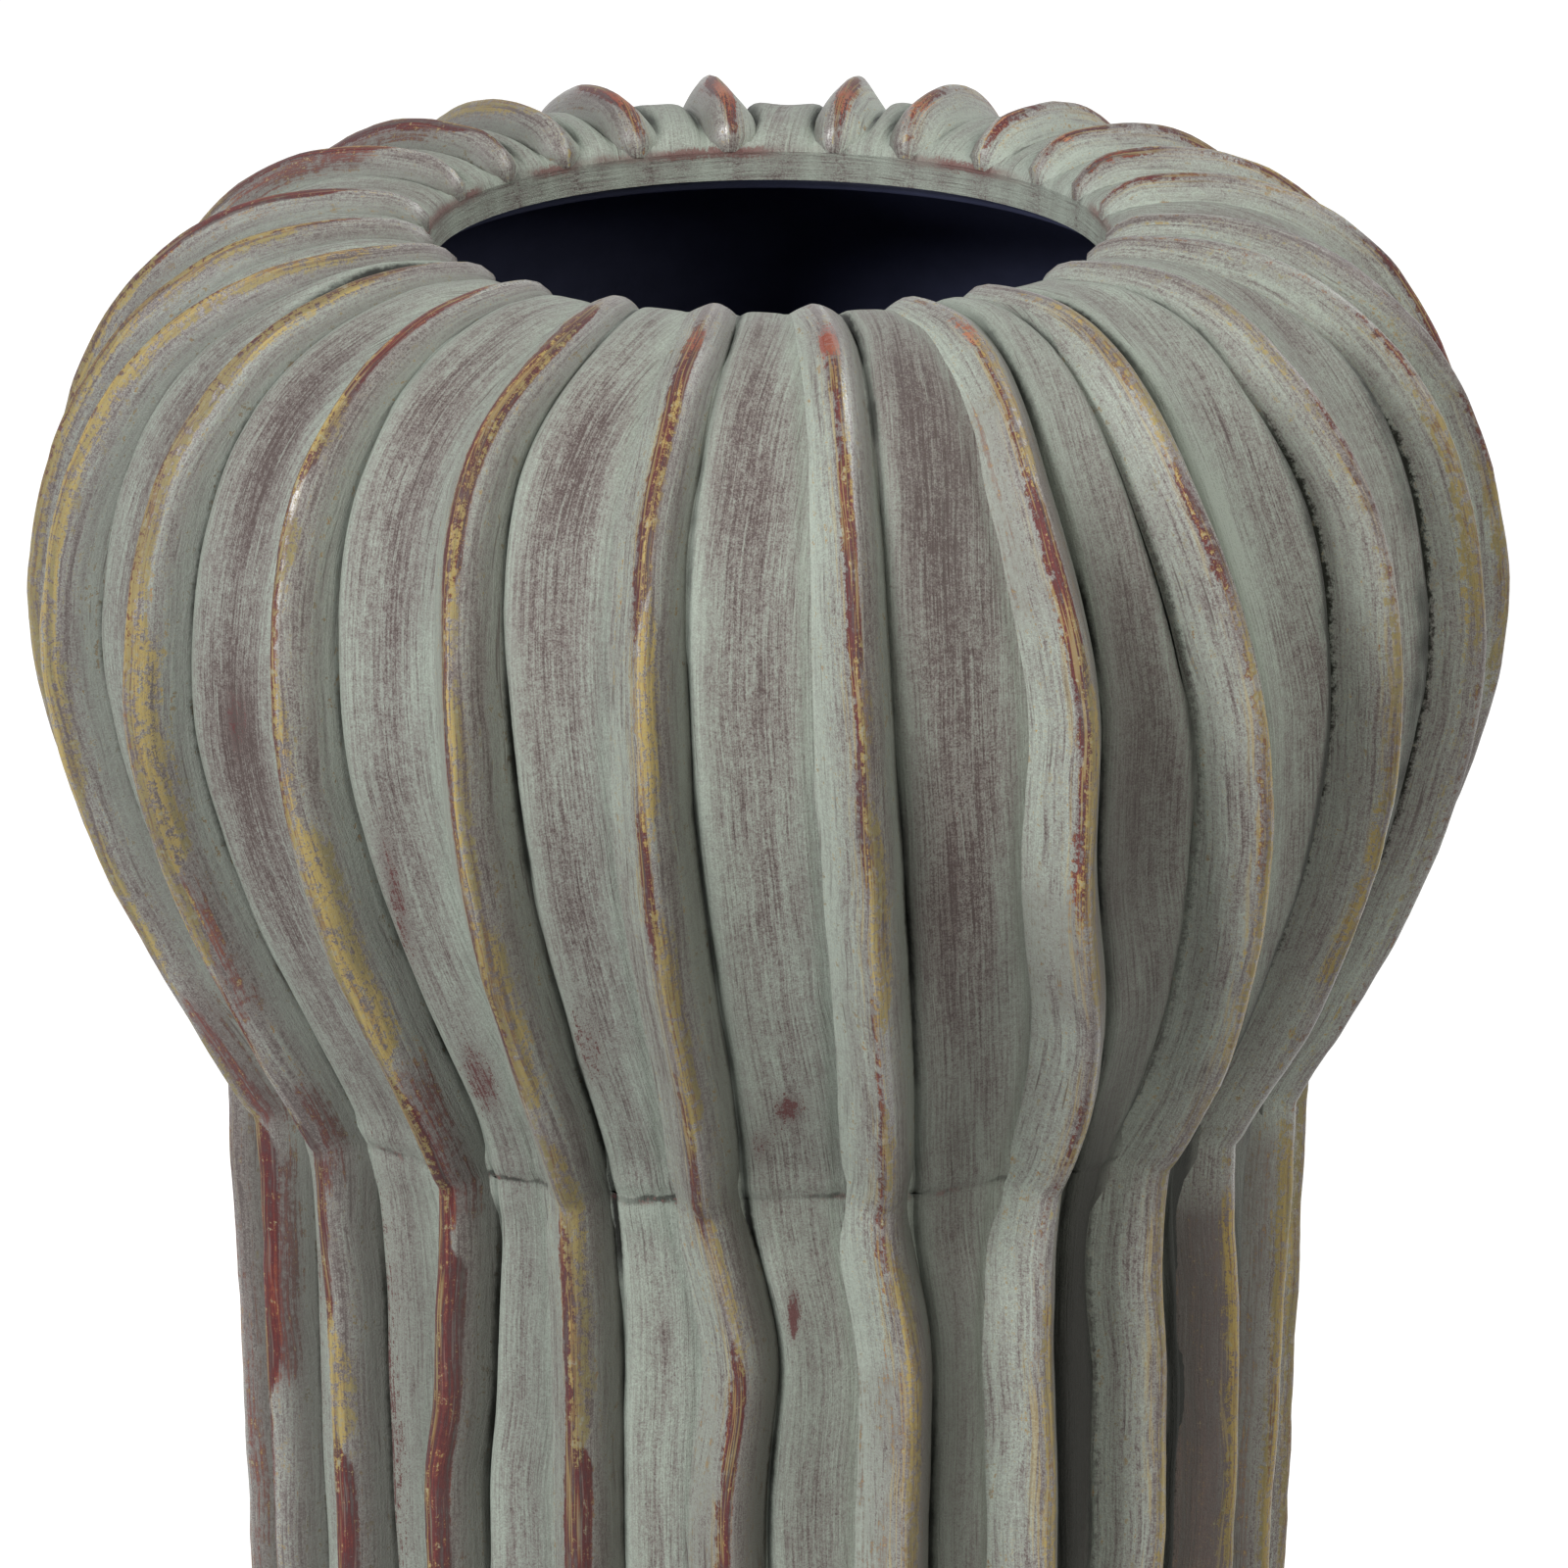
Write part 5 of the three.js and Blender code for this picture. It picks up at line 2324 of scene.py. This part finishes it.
    def build(
        self, shape: ShapeTree, paint: bpy.types.Material, lining: bpy.types.Material
    ) -> bpy.types.Object:
        """Makes the wall, riding on the frame in place of its CAD node.

        Args:
            shape: the tree that rolls the wall.
            paint: the outside's material.
            lining: the inside's material.

        Returns:
            The piece.
        """
        values = {
            "Groove Depth": self.groove_depth * MM,
            "Groove Width": self.groove_width * MM,
            "Swell Height": self.swell_height * MM,
            "Swell Reach": self.swell_reach * MM,
            "Unevenness": self.unevenness * MM,
            "Seed": self.seed,
            "Paint": paint,
            "Lining": lining,
        }
        piece = shape.run(self.name, self.pattern(), values)
        return seat(piece, Slot.WALL, self.node)


@dataclass
class HeadShell(Shell):
    """The bulbous head with its turned-in shoulder and the cut edge of its mouth."""

    wall_thickness: float = 9.0
    row_step: float = 2.0
    inner_step: float = 6.0
    inner_softening: float = 2.0
    inner_foot: float = 8.0
    seam_rows: tuple[float, float] = (0.1, 0.8)
    band_rows: int = 8
    band_edge: float = 0.002
    painted_band: float = 0.62
    undercut: float = 4.5
    undercut_start: float = 0.15
    lip_steps: Knots = ((0.5, -0.6), (2.5, -0.2))

    def lines(self) -> Rows:
        """Sets the rows up the outside, over the cut edge and down the inside.

        Returns:
            The pattern's rows.
        """
        line, wall = self.wall.line, self.wall
        close, open_wall = self.seam_rows
        steps = int((wall.tip - wall.waist) / self.row_step)
        outer = np.linspace(wall.waist + open_wall, wall.tip, steps)
        outer = np.concatenate([[wall.waist, wall.waist + close], outer])
        ring, facing = self.outside(outer)
        rim = line.waist_height + line.head_height - line.rim_drop
        down = np.concatenate([[self.band_edge], np.linspace(0.0, 1.0, self.band_rows)[1:]])
        cut_back = self.undercut * (down > self.painted_band + self.undercut_start)
        band_radius = line.rim_radius + (line.mouth_radius - line.rim_radius) * down + cut_back
        band = np.stack([band_radius, rim - line.rim_band * down], 1)
        lip = np.array([line.mouth_radius + self.undercut, rim - line.rim_band]) + self.lip_steps
        inner_steps = int((wall.shoulder - wall.waist) / self.inner_step)
        inner_along = np.linspace(wall.shoulder, wall.waist + self.inner_foot, inner_steps)
        inner_point, inner_out = wall.at(inner_along, soften=self.inner_softening)
        inner = inner_point - self.wall_thickness * inner_out
        seat_radii = (line.waist_radius - self.wall_thickness, ring[0, 0] - self.groove_room)
        lining = np.vstack([lip, inner, [(radius, line.waist_height) for radius in seat_radii]])
        band_along = wall.tip + line.rim_band * down
        return Rows(
            along=np.concatenate([outer, band_along, np.full(len(lining), band_along[-1])]),
            ring=np.vstack([ring, band, lining]),
            facing=np.vstack([facing, np.tile(INWARD, (len(band) + len(lining), 1))]),
            inside=np.concatenate([np.zeros(len(ring)), down > self.painted_band, np.ones(len(lining))]),
        )


@dataclass
class ColumnShell(Shell):
    """The tall hollow column under the head."""

    wall_thickness: float = 9.0
    row_step: float = 2.6
    inner_rows: int = 30
    seam_rows: tuple[float, float] = (0.1, 0.8)

    def lines(self) -> Rows:
        """Sets the rows up the outside, over the top and down the inside.

        Returns:
            The pattern's rows.
        """
        line, wall = self.wall.line, self.wall
        close, open_wall = self.seam_rows
        start = line.base_thickness - line.rib_foot_lift
        outer = np.linspace(start, wall.waist - open_wall, int((wall.waist - start) / self.row_step))
        outer = np.concatenate([outer, [wall.waist - close, wall.waist]])
        ring, facing = self.outside(outer)
        inner, _ = wall.at(np.linspace(wall.waist, start, self.inner_rows))
        seat_edge = (ring[-1, 0] - self.groove_room, line.waist_height)
        inner = np.vstack([[seat_edge], inner - (self.wall_thickness, 0.0)])
        return Rows(
            along=np.concatenate([outer, np.full(len(inner), start)]),
            ring=np.vstack([ring, inner]),
            facing=np.vstack([facing, np.tile(INWARD, (len(inner), 1))]),
            inside=np.concatenate([np.zeros(len(outer)), np.ones(len(inner))]),
        )


@dataclass
class BaseDisc:
    """The clay disc that closes the foot of the column."""

    name: str = "base_disc"
    radius: float = 98.0
    thickness: float = 10.0
    bevel: float = 2.0
    bevel_step: int = 18
    side_row: float = 6.0
    flat_rows: int = 6
    round_steps: int = 160

    def outline(self) -> list[tuple[float, float]]:
        """Draws the half section from the middle of the underside to the middle of the top.

        Returns:
            Points as (radius, height).
        """
        corner = [math.radians(a) for a in range(-90, 1, self.bevel_step)]
        middle = self.radius - self.bevel
        rounded = [(middle + self.bevel * math.cos(a), self.bevel * (1.0 + math.sin(a))) for a in corner]
        radii = [self.radius * k / self.flat_rows for k in range(1, self.flat_rows + 1)]
        underside = [(radius, 0.0) for radius in radii[:-1]]
        top = [(radius, self.thickness) for radius in reversed(radii)]
        return underside + rounded + [(self.radius, self.side_row)] + top

    def faces(self, rings: int) -> list[tuple[int, ...]]:
        """Joins the turned points.

        Args:
            rings: how many rings of points lie between the two middles.

        Returns:
            The faces' corners.
        """
        steps = self.round_steps
        last = 1 + rings * steps
        top = last - steps
        faces: list[tuple[int, ...]] = []
        for k in range(steps):
            n = (k + 1) % steps
            faces += [(0, 1 + n, 1 + k), (last, top + k, top + n)]
            for low in range(1, top, steps):
                high = low + steps
                faces.append((low + k, low + n, high + n, high + k))
        return faces

    def build(self, paint: bpy.types.Material) -> bpy.types.Object:
        """Makes the disc, riding on the frame in place of its CAD node.

        Args:
            paint: the disc's material.

        Returns:
            The piece.
        """
        outline = self.outline()
        corners = [(0.0, 0.0, 0.0)]
        turns = [2 * math.pi * k / self.round_steps for k in range(self.round_steps)]
        for radius, height in outline:
            corners += [(radius * math.cos(t) * MM, radius * math.sin(t) * MM, height * MM) for t in turns]
        corners.append((0.0, 0.0, self.thickness * MM))
        mesh = bpy.data.meshes.new(self.name)
        mesh.from_pydata(corners, [], self.faces(len(outline)))
        mesh.materials.append(paint)
        mesh.shade_smooth()
        face_outward(mesh)
        return seat(linked(self.name, mesh), Slot.BASE, "base_slab")


# ---- studio


@dataclass(frozen=True)
class Lamp:
    """A square soft lamp, with its side's length in metres and its power in watts."""

    name: str
    place: Place
    size: float
    power: float
    colour: Colour = (1.0, 1.0, 1.0)

    def hang(self, aim: Place) -> None:
        """Adds the lamp.

        Args:
            aim: the point that it looks at.
        """
        data = bpy.data.lights.new(self.name, "AREA")
        data.color = self.colour
        data.size = self.size
        data.energy = self.power
        lamp = bpy.data.objects.new(self.name, data)
        lamp.location = self.place
        lamp.rotation_euler = (Vector(aim) - Vector(self.place)).to_track_quat("-Z", "Y").to_euler()
        bpy.context.scene.collection.objects.link(lamp)


LAMPS = (
    Lamp("key", (-2.3, -2.4, 2.4), 1.2, 132.0),
    Lamp("sheen", (-2.7, -3.1, 1.0), 0.6, 42.0),
    Lamp("fill", (2.5, -2.8, 2.3), 1.6, 62.0, (1.0, 0.97, 0.88)),
    Lamp("back", (2.4, 1.5, 2.6), 1.0, 34.0),
    Lamp("side", (3.0, -0.2, 2.5), 1.2, 27.0),
)


@dataclass(frozen=True)
class Studio:
    """Pale floor, white surroundings, soft lamps and the photograph's view, in metres."""

    elevation: float = math.radians(15.8)
    distance: float = 6.17
    aim: Place = (0.0032, 0.0, 0.3289)
    frame_width: float = 0.3184
    sensor: float = 36.0
    farthest: float = 100.0
    floor_size: float = 14.0
    floor_tone: float = 0.30
    floor_glow: float = 0.90
    ambient: float = 0.13

    def build(self) -> None:
        """Builds everything that isn't part of the vase."""
        self.floor()
        self.surroundings()
        for lamp in LAMPS:
            lamp.hang(self.aim)
        self.camera()

    def floor(self) -> None:
        """Builds the pale floor, white to the camera where no shadow falls."""
        half = self.floor_size / 2
        corners = [(-half, -half, 0), (half, -half, 0), (half, half, 0), (-half, half, 0)]
        mesh = bpy.data.meshes.new("floor")
        mesh.from_pydata(corners, [], [(0, 1, 2, 3)])
        piece = linked("floor", mesh)
        material = bpy.data.materials.new("pale_floor")
        material.use_nodes = True
        material.node_tree.nodes.clear()
        graph = Graph(material.node_tree)
        matt = graph.add("ShaderNodeBsdfDiffuse", {"Color": opaque((self.floor_tone,) * 3)})
        strength = graph.product(self.seen(graph), self.floor_glow)
        glow = graph.add("ShaderNodeEmission", {"Strength": strength})
        both = graph.add("ShaderNodeAddShader", {0: matt.outputs[0], 1: glow.outputs[0]})
        graph.add("ShaderNodeOutputMaterial", {"Surface": both.outputs[0]})
        mesh.materials.append(material)

    def seen(self, graph: Graph) -> Socket:
        """Tells the rays that show the surroundings from those that light the vase.

        Args:
            graph: the nodes of the floor or the world.

        Returns:
            1 for a ray that shows them.
        """
        rays = graph.add("ShaderNodeLightPath")
        seen = graph.math("MAXIMUM", rays.outputs["Is Camera Ray"], rays.outputs["Is Glossy Ray"])
        return graph.math("MAXIMUM", seen, rays.outputs["Is Transmission Ray"])

    def surroundings(self) -> None:
        """Builds the world: white where it is seen, softer where it lights."""
        world = bpy.data.worlds.new("white_room")
        bpy.context.scene.world = world
        world.use_nodes = True
        world.node_tree.nodes.clear()
        graph = Graph(world.node_tree)
        strength = graph.mix(self.seen(graph), self.ambient, 1.0)
        back = graph.add("ShaderNodeBackground", {"Color": (1.0,) * 4, "Strength": strength})
        graph.add("ShaderNodeOutputWorld", {"Surface": back.outputs[0]})

    def camera(self) -> None:
        """Sets the camera at the photograph's angle."""
        data = bpy.data.cameras.new("photograph")
        data.sensor_width = self.sensor
        data.lens = self.sensor * self.distance / self.frame_width
        data.clip_end = self.farthest
        camera = bpy.data.objects.new("photograph", data)
        x, y, z = self.aim
        back, up = math.cos(self.elevation), math.sin(self.elevation)
        camera.location = (x, y - self.distance * back, z + self.distance * up)
        camera.rotation_euler = (math.pi / 2 - self.elevation, 0.0, 0.0)
        bpy.context.scene.collection.objects.link(camera)
        bpy.context.scene.camera = camera


def main() -> None:
    """Builds the vase around the frame and the studio around the vase."""
    logging.basicConfig(level=logging.INFO, format="%(name)s: %(message)s")
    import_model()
    bpy.context.scene.view_settings.view_transform = "Standard"
    wall = Wall(WallLine())
    layout = RibLayout(wall)
    panel_paint = PanelPaint(seam=wall.waist).build()
    rib_paint = RibPaint().build()
    lining = LiningPaint().build()
    rolled = RolledWallTree()
    pinched = PinchedRibTree()
    BaseDisc().build(BarePaint().build())
    ColumnShell("column_wall", "column_shell", layout).build(rolled, panel_paint, lining)
    HeadShell("head_wall", "bulb_shell", layout).build(rolled, panel_paint, lining)
    for number in range(1, layout.count + 1):
        Rib(number, layout).build(pinched, rib_paint)
    Studio().build()


if __name__ == "__main__":
    main()
